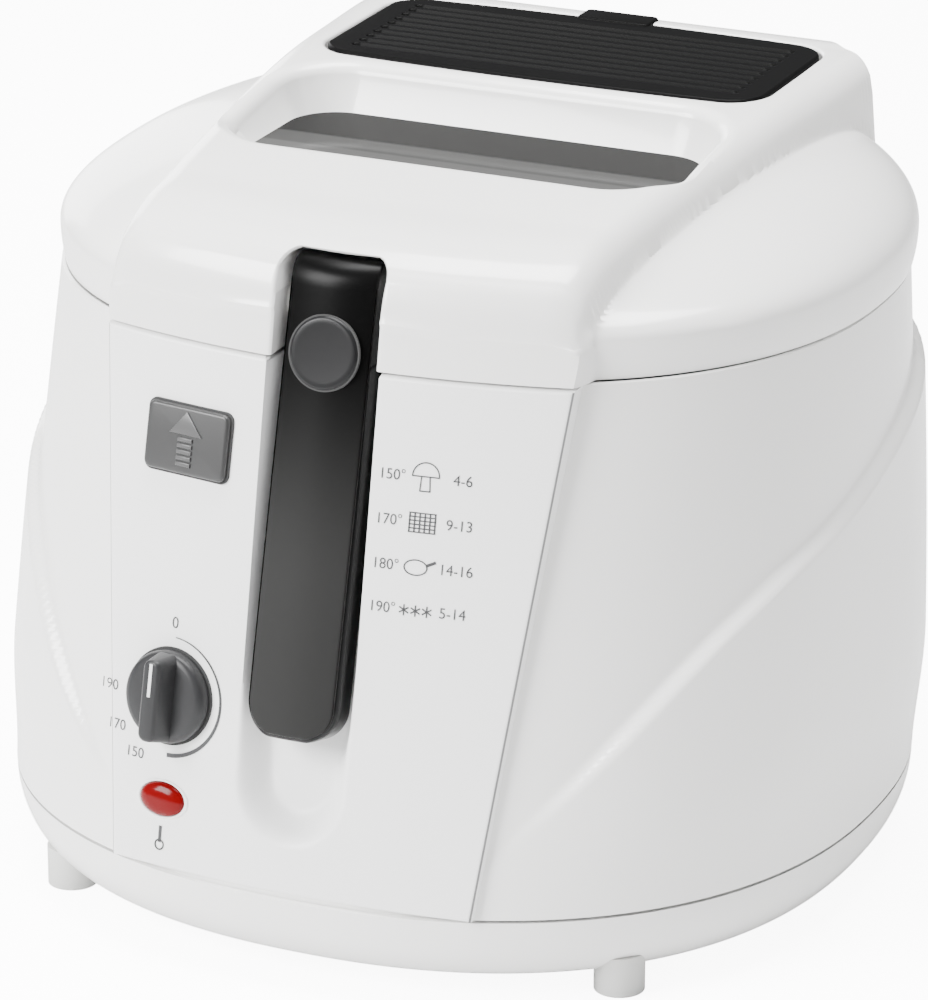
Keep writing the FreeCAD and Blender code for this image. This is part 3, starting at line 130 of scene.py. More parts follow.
# %% Helpers for softening, placing and joining
def soften(bm, edges, offset, segments):
    bmesh.ops.bevel(bm, geom=edges, offset=offset, offset_type="OFFSET", segments=segments, profile=0.5,
                    affect="EDGES", material=-1)


def merge(bm, near):
    bmesh.ops.remove_doubles(bm, verts=bm.verts, dist=near)


def stand(bm, placing):
    bmesh.ops.transform(bm, matrix=placing, verts=bm.verts)
    return bm


def join(bm, other):
    """Copies another mesh into this one."""
    copied = bpy.data.meshes.new("copied")
    other.to_mesh(copied)
    bm.from_mesh(copied)
    bpy.data.meshes.remove(copied)


# %% Helpers for finishing a piece
def face_outwards(bm):
    bmesh.ops.recalc_face_normals(bm, faces=bm.faces)
    middle = sum((v.co for v in bm.verts), Vector()) / len(bm.verts)
    outward = sum((f.calc_center_median() - middle).dot(f.normal) * f.calc_area() for f in bm.faces)
    if outward < 0.0:
        bmesh.ops.reverse_faces(bm, faces=bm.faces)


def make_piece(name, bm, body, finish, replaced=(), crease=38.0):
    """Turns a mesh in millimetres into a finished piece that rides on a body."""
    merge(bm, 0.002)
    face_outwards(bm)
    bmesh.ops.scale(bm, vec=(MILLIMETRE,) * 3, verts=bm.verts)
    mesh = bpy.data.meshes.new(name)
    bm.to_mesh(mesh)
    bm.free()
    mesh.shade_smooth()
    mesh.set_sharp_from_angle(angle=math.radians(crease))
    mesh.materials.append(finish)
    piece = bpy.data.objects.new(name, mesh)
    bpy.context.scene.collection.objects.link(piece)
    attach(piece, body)
    if replaced:
        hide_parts(*replaced)
    print(name, len(mesh.polygons), "faces")
    return piece


# %% [markdown]
# ## Finishes
# Moulded plastic is never one flat colour. It has slow changes of shade, faint changes of gloss
# and a very fine skin. One shader group gives these three, and each finish uses its own values.

# %% The shared group for a moulded skin
SHADED = (0.55, 0.55, 0.56, 1.0)


def math_node(tree, operation, *values):
    """A math node fed by sockets or plain numbers."""
    node = tree.nodes.new("ShaderNodeMath")
    node.operation = operation
    for socket, value in zip(node.inputs, values):
        if isinstance(value, float):
            socket.default_value = value
        else:
            tree.links.new(value, socket)
    return node.outputs[0]


def new_skin_group():
    group = bpy.data.node_groups.new("moulded_skin", "ShaderNodeTree")
    for way, names in (("INPUT", ("Colour", "Shade", "Roughness", "Uneven", "Broad Scale", "Fine Scale")),
                       ("OUTPUT", ("Colour", "Roughness", "Height"))):
        for name in names:
            kind = "NodeSocketColor" if name == "Colour" else "NodeSocketFloat"
            group.interface.new_socket(name, in_out=way, socket_type=kind)
    nodes, links = group.nodes, group.links
    given = nodes.new("NodeGroupInput")
    result = nodes.new("NodeGroupOutput")
    where = nodes.new("ShaderNodeTexCoord")
    broad = nodes.new("ShaderNodeTexNoise")
    fine = nodes.new("ShaderNodeTexNoise")
    for noise, scale in ((broad, "Broad Scale"), (fine, "Fine Scale")):
        links.new(where.outputs["Object"], noise.inputs["Vector"])
        links.new(given.outputs[scale], noise.inputs["Scale"])
        noise.inputs["Detail"].default_value = 3.0
    shade = nodes.new("ShaderNodeMix")
    shade.data_type = "RGBA"
    shade.blend_type = "MULTIPLY"
    share = math_node(group, "MULTIPLY", broad.outputs["Fac"], given.outputs["Shade"])
    links.new(share, shade.inputs["Factor"])
    links.new(given.outputs["Colour"], shade.inputs["A"])
    shade.inputs["B"].default_value = SHADED
    links.new(shade.outputs["Result"], result.inputs["Colour"])
    centred = math_node(group, "SUBTRACT", broad.outputs["Fac"], 0.5)
    gloss = math_node(group, "MULTIPLY_ADD", centred, given.outputs["Uneven"], given.outputs["Roughness"])
    links.new(gloss, result.inputs["Roughness"])
    links.new(fine.outputs["Fac"], result.inputs["Height"])
    return group


skin_group = new_skin_group()
print("group sockets", len(skin_group.interface.items_tree))


# %% A finish from the group
def moulded(name, colour, roughness, shade=0.08, uneven=0.06, broad=14.0, fine=900.0, bump=0.03,
            metal=0.0, coat=0.0, shine=0.5):
    finish = bpy.data.materials.new(name)
    finish.use_nodes = True
    nodes, links = finish.node_tree.nodes, finish.node_tree.links
    shader = nodes["Principled BSDF"]
    skin = nodes.new("ShaderNodeGroup")
    skin.node_tree = skin_group
    skin.name = "skin"
    for socket, value in (("Colour", (*colour, 1.0)), ("Shade", shade), ("Roughness", roughness),
                          ("Uneven", uneven), ("Broad Scale", broad), ("Fine Scale", fine)):
        skin.inputs[socket].default_value = value
    relief = nodes.new("ShaderNodeBump")
    relief.inputs["Strength"].default_value = bump
    relief.inputs["Distance"].default_value = 0.0004
    links.new(skin.outputs["Height"], relief.inputs["Height"])
    links.new(skin.outputs["Colour"], shader.inputs["Base Color"])
    links.new(skin.outputs["Roughness"], shader.inputs["Roughness"])
    links.new(relief.outputs["Normal"], shader.inputs["Normal"])
    shader.inputs["Metallic"].default_value = metal
    shader.inputs["Specular IOR Level"].default_value = shine
    shader.inputs["Coat Weight"].default_value = coat
    shader.inputs["Coat Roughness"].default_value = 0.06
    return finish


gloss_white = moulded("gloss_white", (0.86, 0.855, 0.84), 0.24, shade=0.03, coat=0.35, bump=0.01)
satin_white = moulded("satin_white", (0.87, 0.87, 0.865), 0.42, shade=0.03, fine=1400.0, bump=0.03)
black_gloss = moulded("black_gloss", (0.003, 0.003, 0.003), 0.18, shade=0.3, bump=0.01, shine=0.2)
black_satin = moulded("black_satin", (0.004, 0.004, 0.004), 0.36, shade=0.3, fine=1500.0, bump=0.03,
                      shine=0.15)
button_grey = moulded("button_grey", (0.023, 0.023, 0.023), 0.38, shade=0.1, fine=1600.0, bump=0.05)
arrow_grey = moulded("arrow_grey", (0.06, 0.06, 0.06), 0.34, shade=0.1, fine=1600.0, bump=0.05)
knob_grey = moulded("knob_grey", (0.022, 0.022, 0.023), 0.36, shade=0.25, fine=1500.0, bump=0.06, shine=0.25)
print_ink = moulded("print_ink", (0.04, 0.04, 0.042), 0.55, shade=0.2, broad=300.0, fine=3000.0)
shadow_gap = moulded("shadow_gap", (0.03, 0.03, 0.03), 0.8, shade=0.2)
print("plastic finishes ready")

# %% [markdown]
# ### Finishes with a pattern of their own
# The lift handle runs from black at its head to dark grey at its foot. The grey is a painted reflection, so
# its colour follows height.
# Rolled steel has long fine streaks, so its noise is stretched along one direction.


# %% The handle finish, with a painted reflection graded by height
def share_along(finish, axis, low, high):
    """A value that runs from 0 to 1 between two places on an axis, in metres."""
    nodes, links = finish.node_tree.nodes, finish.node_tree.links
    where = nodes.new("ShaderNodeTexCoord")
    parts = nodes.new("ShaderNodeSeparateXYZ")
    share = nodes.new("ShaderNodeMapRange")
    share.inputs["From Min"].default_value = low
    share.inputs["From Max"].default_value = high
    links.new(where.outputs["Object"], parts.inputs["Vector"])
    links.new(parts.outputs[axis], share.inputs["Value"])
    return share


# The grey below the head is a painted reflection; the plate fades to black towards its head.
HANDLE_DARK, HANDLE_SHEEN_GREY = (0.002, 0.002, 0.002, 1.0), (0.024, 0.024, 0.0236, 1.0)
REFLECTION_UP_TO, BLACK_FROM = 0.125, 0.200
handle_black_with_sheen = moulded("handle_black_with_sheen", HANDLE_SHEEN_GREY[:3], 0.3, shade=0.12, fine=1600.0, bump=0.02, shine=0.07)
handle_nodes, handle_links = handle_black_with_sheen.node_tree.nodes, handle_black_with_sheen.node_tree.links
reflection_share = share_along(handle_black_with_sheen, "Z", REFLECTION_UP_TO, BLACK_FROM)
reflection_share.interpolation_type = "SMOOTHSTEP"
handle_painted_reflection = handle_nodes.new("ShaderNodeMix")
handle_painted_reflection.data_type = "RGBA"
handle_painted_reflection.inputs["A"].default_value = HANDLE_SHEEN_GREY
handle_painted_reflection.inputs["B"].default_value = HANDLE_DARK
handle_links.new(reflection_share.outputs["Result"], handle_painted_reflection.inputs["Factor"])
handle_links.new(handle_painted_reflection.outputs["Result"], handle_nodes["skin"].inputs["Colour"])
print("handle turns black between", REFLECTION_UP_TO, "and", BLACK_FROM, "m")


# %% Streaked steel and the other inner finishes
STREAK_SCALE = 40.0


def streaked(name, colour, roughness, along):
    finish = moulded(name, colour, roughness, shade=0.25, uneven=0.25, metal=1.0, bump=0.08)
    nodes, links = finish.node_tree.nodes, finish.node_tree.links
    where = nodes.new("ShaderNodeTexCoord")
    turn = nodes.new("ShaderNodeMapping")
    turn.inputs["Scale"].default_value = along
    streaks = nodes.new("ShaderNodeTexNoise")
    streaks.inputs["Scale"].default_value = STREAK_SCALE
    links.new(where.outputs["Object"], turn.inputs["Vector"])
    links.new(turn.outputs["Vector"], streaks.inputs["Vector"])
    links.new(streaks.outputs["Fac"], nodes["Bump"].inputs["Height"])
    return finish


plain_steel = streaked("plain_steel", (0.56, 0.56, 0.57), 0.32, (1.0, 30.0, 30.0))
wire_steel = streaked("wire_steel", (0.68, 0.68, 0.69), 0.2, (20.0, 20.0, 2.0))
element_steel = streaked("element_steel", (0.16, 0.14, 0.13), 0.45, (6.0, 6.0, 30.0))
mesh_metal = moulded("mesh_metal", (0.5, 0.5, 0.5), 0.4, shade=0.6, broad=700.0, fine=1800.0, bump=0.6,
                     metal=0.9)
bowl_coating = moulded("bowl_coating", (0.035, 0.035, 0.038), 0.38, shade=0.5, broad=900.0, fine=2200.0,
                       bump=0.12)
inner_plastic = moulded("inner_plastic", (0.70, 0.69, 0.66), 0.5, shade=0.1)
silicone = moulded("silicone", (0.58, 0.57, 0.54), 0.6, shade=0.15, bump=0.05)
black_rubber = moulded("black_rubber", (0.02, 0.02, 0.02), 0.7, shade=0.3, bump=0.12)
foot_rubber = moulded("foot_rubber", (0.62, 0.62, 0.60), 0.6, shade=0.2, bump=0.1)
charcoal_foam = moulded("charcoal_foam", (0.03, 0.03, 0.032), 0.95, shade=0.7, broad=500.0, fine=700.0,
                        bump=1.0)
print("inner finishes ready")

# %% [markdown]
# ### Glass and lens
# The window is smoked glass over a dark inside, so hardly any light comes back through it. Real glass would
# take long to render and show little, so a few greys stand in: the dark middle for the inside, paler bands
# towards the front as a painted reflection, and a near-black strip at the rear as the painted shadow of the
# seal.
# The lamp lens is dark red plastic with a faint glow of its own.

# %% Smoked glass and red lens
# The paler front bands are a painted reflection and the near-black rear strip is a painted shadow of the
# seal.
GLASS_FRONT, GLASS_REAR = -0.032, 0.044
GLASS_PAINTED_TONES = ((0.0, 0.07), (0.40, 0.065), (0.42, 0.042), (0.54, 0.038),
               (0.56, 0.011), (0.90, 0.009), (0.92, 0.001), (1.0, 0.001))
smoked_glass = moulded("smoked_glass", (0.12, 0.12, 0.118), 0.06, shade=0.1, uneven=0.03, bump=0.0,
                       shine=0.01)
glass_nodes, glass_links = smoked_glass.node_tree.nodes, smoked_glass.node_tree.links
glass_share = share_along(smoked_glass, "Y", GLASS_FRONT, GLASS_REAR)
glass_painted_light = glass_nodes.new("ShaderNodeValToRGB")
painted_glass_stops = glass_painted_light.color_ramp.elements
for place, _ in GLASS_PAINTED_TONES[1:-1]:
    painted_glass_stops.new(place)
for stop, (place, grey) in zip(painted_glass_stops, GLASS_PAINTED_TONES):
    stop.position = place
    stop.color = (grey, grey, grey * 0.98, 1.0)
glass_links.new(glass_share.outputs["Result"], glass_painted_light.inputs["Fac"])
glass_links.new(glass_painted_light.outputs["Color"], glass_nodes["skin"].inputs["Colour"])
red_lens = moulded("red_lens", (0.14, 0.002, 0.003), 0.16, shade=0.5, broad=120.0, coat=0.02, bump=0.01,
                   shine=0.12)
lens_shader = red_lens.node_tree.nodes["Principled BSDF"]
lens_shader.inputs["Emission Strength"].default_value = 0.04
lens_shader.inputs["Emission Color"].default_value = (0.6, 0.01, 0.01, 1.0)
print("glass in", len(painted_glass_stops), "tones, lens ready")

# %% [markdown]
# ## The body
# In plan the fryer is a rounded square. Its rings follow one superellipse, and they get
# smaller upwards, most of all at the front. On each side a crease runs from the rear shoulder down
# to the front foot, and the wall below it swells out. A bevelled box can't give such rings, so a grid is
# wrapped round the plan, and each of its rows takes the size of its own height.

# %% Plan rings and the body's sections
PLAN_POWER = 2.25
SEAM, RIM = 30.0, 192.0
FOOT_RING, RIM_SHRINK, SIDE_SWELL = (143.0, 140.0, 139.0), (9.0, 32.8, 1.0), 1.2
REAR_RISE, REAR_START, REAR_FULL, REAR_GAP, GAP_SOFT = 11.0, 63.0, 75.0, 84.0, 3.0


def plan_ring(angle, half, front, rear):
    cos, sin = np.cos(angle), np.sin(angle)
    x = half * np.sign(cos) * np.abs(cos) ** (2.0 / PLAN_POWER)
    y = (rear - front) / 2.0 + (rear + front) / 2.0 * np.sign(sin) * np.abs(sin) ** (2.0 / PLAN_POWER)
    return x, y


def body_section(z):
    """Half width, front and rear of the body at a height."""
    rise = np.clip((z - SEAM) / (RIM - SEAM), 0.0, 1.2)
    half, front, rear = (foot - shrink * rise for foot, shrink in zip(FOOT_RING, RIM_SHRINK))
    return half + SIDE_SWELL * np.sin(np.pi * np.clip(rise, 0.0, 1.0)), front, rear


def rear_rise(x, y):
    """How much higher the rim stands on both sides of the hinge."""
    behind = soft_step(REAR_START, REAR_FULL, y)
    beside = soft_step(REAR_GAP - GAP_SOFT, REAR_GAP + GAP_SOFT, np.abs(x))
    return REAR_RISE * behind * beside


print("rim ring", body_section(RIM))

# %% The front panel's own surface
PANEL_LOW = SEAM + 0.8
PANEL_HALVES, PANEL_BULGES, PANEL_FRONTS = (61.0, 78.0), (5.0, 11.0), (138.5, 106.7)


def panel_level(z, bottom, top):
    """A measure that changes evenly from the panel's foot to the rim."""
    return bottom + (top - bottom) * (z - PANEL_LOW) / (RIM - PANEL_LOW)


def panel_half(z):
    return panel_level(z, *PANEL_HALVES)


def panel_depth(x, z):
    """How far forward the panel's bulged front lies, as a y coordinate."""
    half, bulge = panel_half(z), panel_level(z, *PANEL_BULGES)
    radius = (half * half + bulge * bulge) / (2.0 * bulge)
    return -panel_level(z, *PANEL_FRONTS) + radius - np.sqrt(np.maximum(radius * radius - x * x, 1.0))


print("panel front at its foot and rim", panel_depth(0.0, PANEL_LOW), panel_depth(0.0, RIM))

# %% The outer housing
crease_height = smooth_curve(((-140.0, 24.0), (-118.0, 62.0), (-94.0, 94.0), (-78.0, 110.0), (-57.0, 124.0),
                              (-27.0, 136.0), (3.0, 146.0), (60.0, 160.0), (110.0, 169.0), (140.0, 174.0)))
CREASE_SWELL, CREASE_SOFT, CREASE_FADE, SIDE_FADE = 3.8, 0.8, (-0.4, 2.4), (0.02, 0.42)
SWELL_START, SWELL_FULL, SWELL_FOOT, SWELL_TOP = -136.0, -96.0, SEAM - 4.0, 72.0
HOUSING_LIP = ((1.0, 0.4), (1.8, -0.6), (0.2, -9.0))
HOUSING_LOW, BODY_MIDDLE, PANEL_OVERLAP = SEAM + 0.4, 15.0, 3.0


def housing_shape(u, v, _):
    angle = FRONT_ANGLE + np.pi * u
    x, y = plan_ring(angle, *body_section(RIM))
    z = HOUSING_LOW + (v + 1.0) / 2.0 * (RIM + rear_rise(x, y) - HOUSING_LOW)
    half, front, rear = body_section(z)
    x, y = plan_ring(angle, half, front, rear)
    out_x = np.sign(x) * np.abs(x / half) ** (PLAN_POWER - 1.0)
    across = (y - (rear - front) / 2.0) / ((rear + front) / 2.0)
    out_y = np.sign(across) * np.abs(across) ** (PLAN_POWER - 1.0)
    length = np.hypot(out_x, out_y) + 1e-6
    below = (crease_height(y) - z) * CREASE_SOFT
    swell = CREASE_SWELL * soft_step(*CREASE_FADE, below) * soft_step(SWELL_START, SWELL_FULL, y)
    swell = swell * soft_step(SWELL_FOOT, SWELL_TOP, z) * soft_step(*SIDE_FADE, np.abs(out_x) / length)
    return x + swell * out_x / length, y + swell * out_y / length, z


housing = grid(400, 150)
wrap(housing, housing_shape)
behind_panel = faces_where(housing, lambda m: m.y < 0.0 and abs(m.x) < panel_half(m.z) - PANEL_OVERLAP)
bmesh.ops.delete(housing, geom=behind_panel, context="FACES")
merge(housing, 0.01)
rim_edges = open_edges(housing, lambda v: v.co.z > RIM - 0.1)
for inward, lift in HOUSING_LIP:
    rim_verts, rim_edges = extruded_ring(housing, rim_edges)
    step_inwards(rim_verts, BODY_MIDDLE, inward, lift)
make_piece("housing_shell", housing, "base", gloss_white, ("outer_housing",))

# %% [markdown]
# ## The base
# The base is the pan that the housing stands on. It is a quarter round in section, and its underside
# is a shallow recessed plate. A wrapped grid gives the round, because it keeps to the housing's plan, and
# a few extruded rings close it above and below.

# %% The base pan
BASE_ROUND, BASE_BOTTOM, BASE_TOP = 16.0, 6.0, SEAM - 0.6
UNDER_STEPS, UPPER_STEPS = ((0.94, 0.0), (0.985, 2.0)), ((0.985, 0.0), (1.0, 3.0))


def base_shape(u, v, _):
    angle = FRONT_ANGLE + np.pi * u
    turn = (1.0 - v) / 2.0 * np.pi / 2.0
    inset = BASE_ROUND * (1.0 - np.cos(turn))
    x, y = plan_ring(angle, *(size - inset for size in FOOT_RING))
    return x, y, BASE_BOTTOM + (BASE_TOP - BASE_BOTTOM) * (1.0 - np.sin(turn))


def base_rings(edges, steps):
    """Extrudes rings from the pan's edge, each one scaled and lifted."""
    for shrink, lift in steps:
        verts, edges = extruded_ring(base, edges)
        bmesh.ops.scale(base, vec=(shrink, shrink, 1.0), verts=verts)
        bmesh.ops.translate(base, vec=(0.0, 0.0, lift), verts=verts)
    return edges


base = grid(240, 22)
wrap(base, base_shape)
merge(base, 0.01)
lower = base_rings(open_edges(base, lambda v: v.co.z < BASE_BOTTOM + 1.0), UNDER_STEPS)
bmesh.ops.contextual_create(base, geom=lower)
base_rings(open_edges(base, lambda v: v.co.z > BASE_TOP - 1.0), UPPER_STEPS)
make_piece("base_pan", base, "base", gloss_white, ("base_tray",))

# %% [markdown]
# ## The front panel
# The panel is a bulged sheet with a long finger groove behind the handle. The groove is deep at the
# top and runs out in a rounded scoop near the foot. The grid has more columns near the groove,
# so that its walls stay crisp. Cutting the groove out would leave ragged faces, so the sheet is pushed back.

# %% The panel with its finger groove
GROOVE_HALF, GROOVE_LOW = 18.5, 45.0
GROOVE_BACK, GROOVE_RUN = -88.0, 40.0
WALL_WIDTH, SCOOP_WIDTH, SCOOP_FROM, SCOOP_FULL = 2.4, 7.0, 110.0, 50.0
NEAR_SHARE, NEAR_HALF, PANEL_THICK, PANEL_EDGE = 0.6, 24.0, 7.0, 1.1


def groove_inside(x, z):
    """Distance inside the groove's rounded outline."""
    below = np.maximum(GROOVE_LOW + GROOVE_HALF - z, 0.0)
    return GROOVE_HALF - np.hypot(x, below)


def panel_shape(u, v, _):
    z = PANEL_LOW + (v + 1.0) / 2.0 * (RIM - 0.2 - PANEL_LOW)
    far = np.clip((np.abs(u) - NEAR_SHARE) / (1.0 - NEAR_SHARE), 0.0, 1.0)
    near = np.minimum(np.abs(u) / NEAR_SHARE, 1.0)
    x = np.sign(u) * (NEAR_HALF * near + (panel_half(z) - NEAR_HALF) * far)
    y = panel_depth(x, z)
    floor = GROOVE_BACK - (RIM - z) / (RIM - GROOVE_LOW) * GROOVE_RUN
    depth = np.maximum(floor - panel_depth(np.zeros_like(x), z), 0.0)
    width = WALL_WIDTH + SCOOP_WIDTH * soft_step(SCOOP_FROM, SCOOP_FULL, z)
    return x, y + depth * soft_step(-0.4, width, groove_inside(x, z)), z


panel = grid(136, 150)
wrap(panel, panel_shape)
outline = open_edges(panel)
panel_back, _ = extruded_ring(panel, outline)
bmesh.ops.translate(panel, vec=(0.0, PANEL_THICK, 0.0), verts=panel_back)
soften(panel, outline, PANEL_EDGE, 3)
make_piece("panel_sheet", panel, "base", satin_white, ("front_panel",), crease=50.0)


# %% Painted shadow lines along the panel's edges
# These dark strips are painted shade where the panel's edge meets the housing.
edge_shadow_grey = moulded("edge_shadow_grey", (0.20, 0.20, 0.20), 0.7, shade=0.1)
SEAM_WIDTH, SEAM_PROUD, SEAM_INSET = 0.5, 0.1, 0.05


def edge_shadow_shape(u, v, _):
    side, share = np.sign(u + 0.001), np.abs(u)
    z = PANEL_LOW + (v + 1.0) / 2.0 * (RIM - 0.5 - PANEL_LOW)
    half = panel_half(z)
    x = side * (half - SEAM_WIDTH - SEAM_INSET + SEAM_WIDTH * share)
    return x, panel_depth(half, z) + SEAM_INSET + SEAM_WIDTH * share - SEAM_PROUD, z


panel_edge_shadows = grid(4, 60)
wrap(panel_edge_shadows, edge_shadow_shape)
bridging = [f for f in panel_edge_shadows.faces if max(v.co.x for v in f.verts) > 0.0 > min(v.co.x for v in f.verts)]
bmesh.ops.delete(panel_edge_shadows, geom=bridging, context="FACES")
make_piece("panel_edge_shadows", panel_edge_shadows, "base", edge_shadow_grey)

# %% [markdown]
# ## The lid
# The lid is a low pillow with a raised band that runs over it from front to rear. Both are heights over
# the plan, joined by a soft maximum, which leaves the fine valley beside the band. The grid is polar,
# and its rows crowd together at the shoulder where the lid falls away. The lid's front follows the panel's
# bulge, and its rear is filled out so that it covers the hinge.

# %% Heights of the lid
SHOULDER = (135.6, 105.0, 140.0)
SHOULDER_Z, LID_RIM, LID_MIDDLE = 204.0, RIM + 0.8, 17.5
crown_height = smooth_curve(((-110.0, 222.0), (-69.0, 224.0), (-38.0, 227.0), (-7.0, 230.0),
                             (62.0, 235.0), (105.0, 238.0), (145.0, 239.0)))
crown_power = smooth_curve(((-110.0, 2.5), (-40.0, 2.3), (60.0, 2.3), (110.0, 2.5), (145.0, 2.5)))
band_height = smooth_curve(((-108.0, 196.0), (-104.3, 205.0), (-102.8, 212.0), (-100.6, 218.0),
                            (-97.0, 222.2), (-92.0, 225.2), (-84.0, 228.0), (-60.0, 231.2), (-28.0, 234.5),
                            (6.0, 237.6), (40.0, 240.0), (52.0, 240.5), (84.0, 240.6), (118.0, 240.5),
                            (128.0, 240.0), (134.0, 237.6), (138.5, 231.0), (141.5, 218.0)))
band_half = smooth_curve(((-110.0, 78.0), (-60.0, 80.0), (0.0, 86.0), (60.0, 91.5), (145.0, 96.0)))
BAND_ROUND, BAND_SLOPE, VALLEY_SOFT = 11.0, 8.0, 1.1
NOSE_FROM, NOSE_FULL = -30.0, -85.0
NOSE_FRONT, NOSE_HALF = -PANEL_FRONTS[1], PANEL_HALVES[1]
NOSE_RADIUS, NOSE_LEAN, NOSE_LIMIT, NOSE_FADE = 282.0, 0.197, 82.0, (2.2, -0.4)
HINGE_REAR, HINGE_FULL, HINGE_END = 137.0, 62.0, 82.0


def nose_back(x):
    """How far the band's bulged front lies behind its middle."""
    return NOSE_RADIUS - np.sqrt(NOSE_RADIUS ** 2 - np.minimum(np.abs(x), NOSE_LIMIT) ** 2)


def nose_face(x, z):
    return NOSE_FRONT + nose_back(x) + NOSE_LEAN * (z - RIM)


def nose_share(x, y):
    """1 along the band's front and 0 elsewhere."""
    return soft_step(*NOSE_FADE, np.abs(x) - NOSE_HALF) * (y < 0.0)


def crown(x, y):
    half, front, rear = SHOULDER
    reach = (np.abs(x) / half) ** PLAN_POWER + (np.abs(y - LID_MIDDLE) / ((front + rear) / 2.0)) ** PLAN_POWER
    reach = np.minimum(reach ** (1.0 / PLAN_POWER), 1.0)
    power = crown_power(y)
    return SHOULDER_Z + (crown_height(y) - SHOULDER_Z) * (1.0 - reach ** power) ** (1.0 / power)


def band(x, y):
    inside = band_half(y) - np.abs(x)
    y = y - nose_back(x) * soft_step(NOSE_FROM, NOSE_FULL, y)
    turn = np.clip((BAND_ROUND - inside) / BAND_ROUND, 0.0, 0.97)
    edge = BAND_ROUND * (1.0 - np.sqrt(1.0 - turn * turn))
    beyond = np.maximum(0.03 * BAND_ROUND - inside, 0.0)
    return band_height(y) - edge - BAND_SLOPE * beyond


def lid_height(x, y):
    low, high = crown(x, y), band(x, y)
    mean, half_gap = (low + high) / 2.0, (high - low) / 2.0
    return mean + np.sqrt(half_gap * half_gap + VALLEY_SOFT * VALLEY_SOFT) - 0.3 * VALLEY_SOFT


print("lid height in the middle", lid_height(0.0, 0.0))

# %% The lid's polar grid
INNER_SHARE, OUTER_RING = 0.12, 60.0


def lid_shape(u, v, _):
    reach = np.sin(np.pi / 2.0 * (INNER_SHARE + (1.0 - INNER_SHARE) * (v + 1.0) / 2.0))
    x, y = plan_ring(FRONT_ANGLE + np.pi * u, *SHOULDER)
    y = y + (nose_face(x, SHOULDER_Z) - y) * nose_share(x, y)
    hinge = soft_step(HINGE_END, HINGE_FULL, np.abs(x)) * (y > 0.0)
    y = y + np.maximum(HINGE_REAR - y, 0.0) * hinge
    x, y = x * reach, LID_MIDDLE + (y - LID_MIDDLE) * reach
    return x, y, lid_height(x, y)


lid = grid(440, 140)
wrap(lid, lid_shape)
merge(lid, 0.01)
SKIRT_STEPS, SKIRT_TUCK = 9, 1.6
skirt = open_edges(lid, lambda v: np.hypot(v.co.x, v.co.y - LID_MIDDLE) > OUTER_RING)
for step in range(1, SKIRT_STEPS + 1):
    skirt_verts, skirt = extruded_ring(lid, skirt)
    share = step / SKIRT_STEPS
    tuck = SKIRT_TUCK * (share ** 2 - (share - 1.0 / SKIRT_STEPS) ** 2)
    for vert in skirt_verts:
        low = LID_RIM + float(rear_rise(vert.co.x, vert.co.y))
        vert.co.z += (low - vert.co.z) / (SKIRT_STEPS + 1 - step)
        vert.co.x -= tuck * vert.co.x / SHOULDER[0]
        forward = float(nose_face(vert.co.x, vert.co.z)) - vert.co.y
        vert.co.y += forward * nose_share(vert.co.x, vert.co.y)
print("lid skirt along", len(skirt), "edges")

# %% The notch for the handle
NOTCH_HALF, NOTCH_TOP, NOTCH_CORNER, NOTCH_REAR = GROOVE_HALF, 224.5, 6.0, -74.0
NOSE_ZONE, NOTCH_ZONE, CORNER_TURNS = -70.0, 26.0, (15.0, 30.0, 45.0, 60.0, 75.0)
NOTCH_STEPS = ((0.0, 0.0), (0.35, 0.12), (0.55, 0.55), (0.1, None))
notch_cuts = [(Vector((side * NOTCH_HALF, 0.0, 0.0)), Vector((side, 0.0, 0.0))) for side in (-1, 1)]
notch_cuts.append((Vector((0.0, 0.0, NOTCH_TOP)), Vector((0.0, 0.0, 1.0))))
for side in (-1, 1):
    for turn in CORNER_TURNS:
        out = Vector((side * math.sin(math.radians(turn)), 0.0, math.cos(math.radians(turn))))
        hub = Vector((side * (NOTCH_HALF - NOTCH_CORNER), 0.0, NOTCH_TOP - NOTCH_CORNER))
        notch_cuts.append((hub + out * NOTCH_CORNER, out))
for place, out in notch_cuts:
    cut_faces(lid, faces_where(lid, lambda m: m.y < NOSE_ZONE and abs(m.x) < NOTCH_ZONE), place, out, 0.0001)
notch_faces = faces_where(lid, lambda m: m.y < NOSE_ZONE and all(
    (m - place).dot(out) < 0.0 for place, out in notch_cuts))
bmesh.ops.delete(lid, geom=notch_faces, context="FACES")
notch = [e for e in open_edges(lid, lambda v: v.co.y < -80.0 and abs(v.co.x) < NOTCH_HALF + 0.01)
         if max(v.co.z for v in e.verts) > LID_RIM + 0.01]
for inward, to_rear in NOTCH_STEPS:
    notch_verts, notch = extruded_ring(lid, notch)
    for vert in notch_verts:
        centre = Vector((0.0, vert.co.y, min(vert.co.z, NOTCH_TOP - NOTCH_HALF)))
        vert.co += (centre - vert.co).normalized() * inward
        vert.co.y = NOTCH_REAR if to_rear is None else vert.co.y + to_rear
print("notch walls along", len(notch), "edges")


# %% The rim turned inwards
LID_LIP = ((2.0, 0.0), (0.4, 7.0))


def on_rim(vert):
    return abs(vert.co.z - LID_RIM - float(rear_rise(vert.co.x, vert.co.y))) < 0.05


rim_edges = [e for e in open_edges(lid, on_rim)
             if max(abs(v.co.x) for v in e.verts) > NOTCH_HALF or e.verts[0].co.y > 0.0]
for inward, lift in LID_LIP:
    rim_verts, rim_edges = extruded_ring(lid, rim_edges)
    step_inwards(rim_verts, LID_MIDDLE, inward, lift)
print("rim turned in along", len(rim_edges), "edges")

# %% [markdown]
# ### Openings in the lid
# The window well and the filter bay are openings with a rounded lip, which a boolean cut wouldn't give.
# The faces inside the outline are deleted, the edge left behind is pulled onto the outline,
# and a few extruded rings turn down into the wall.


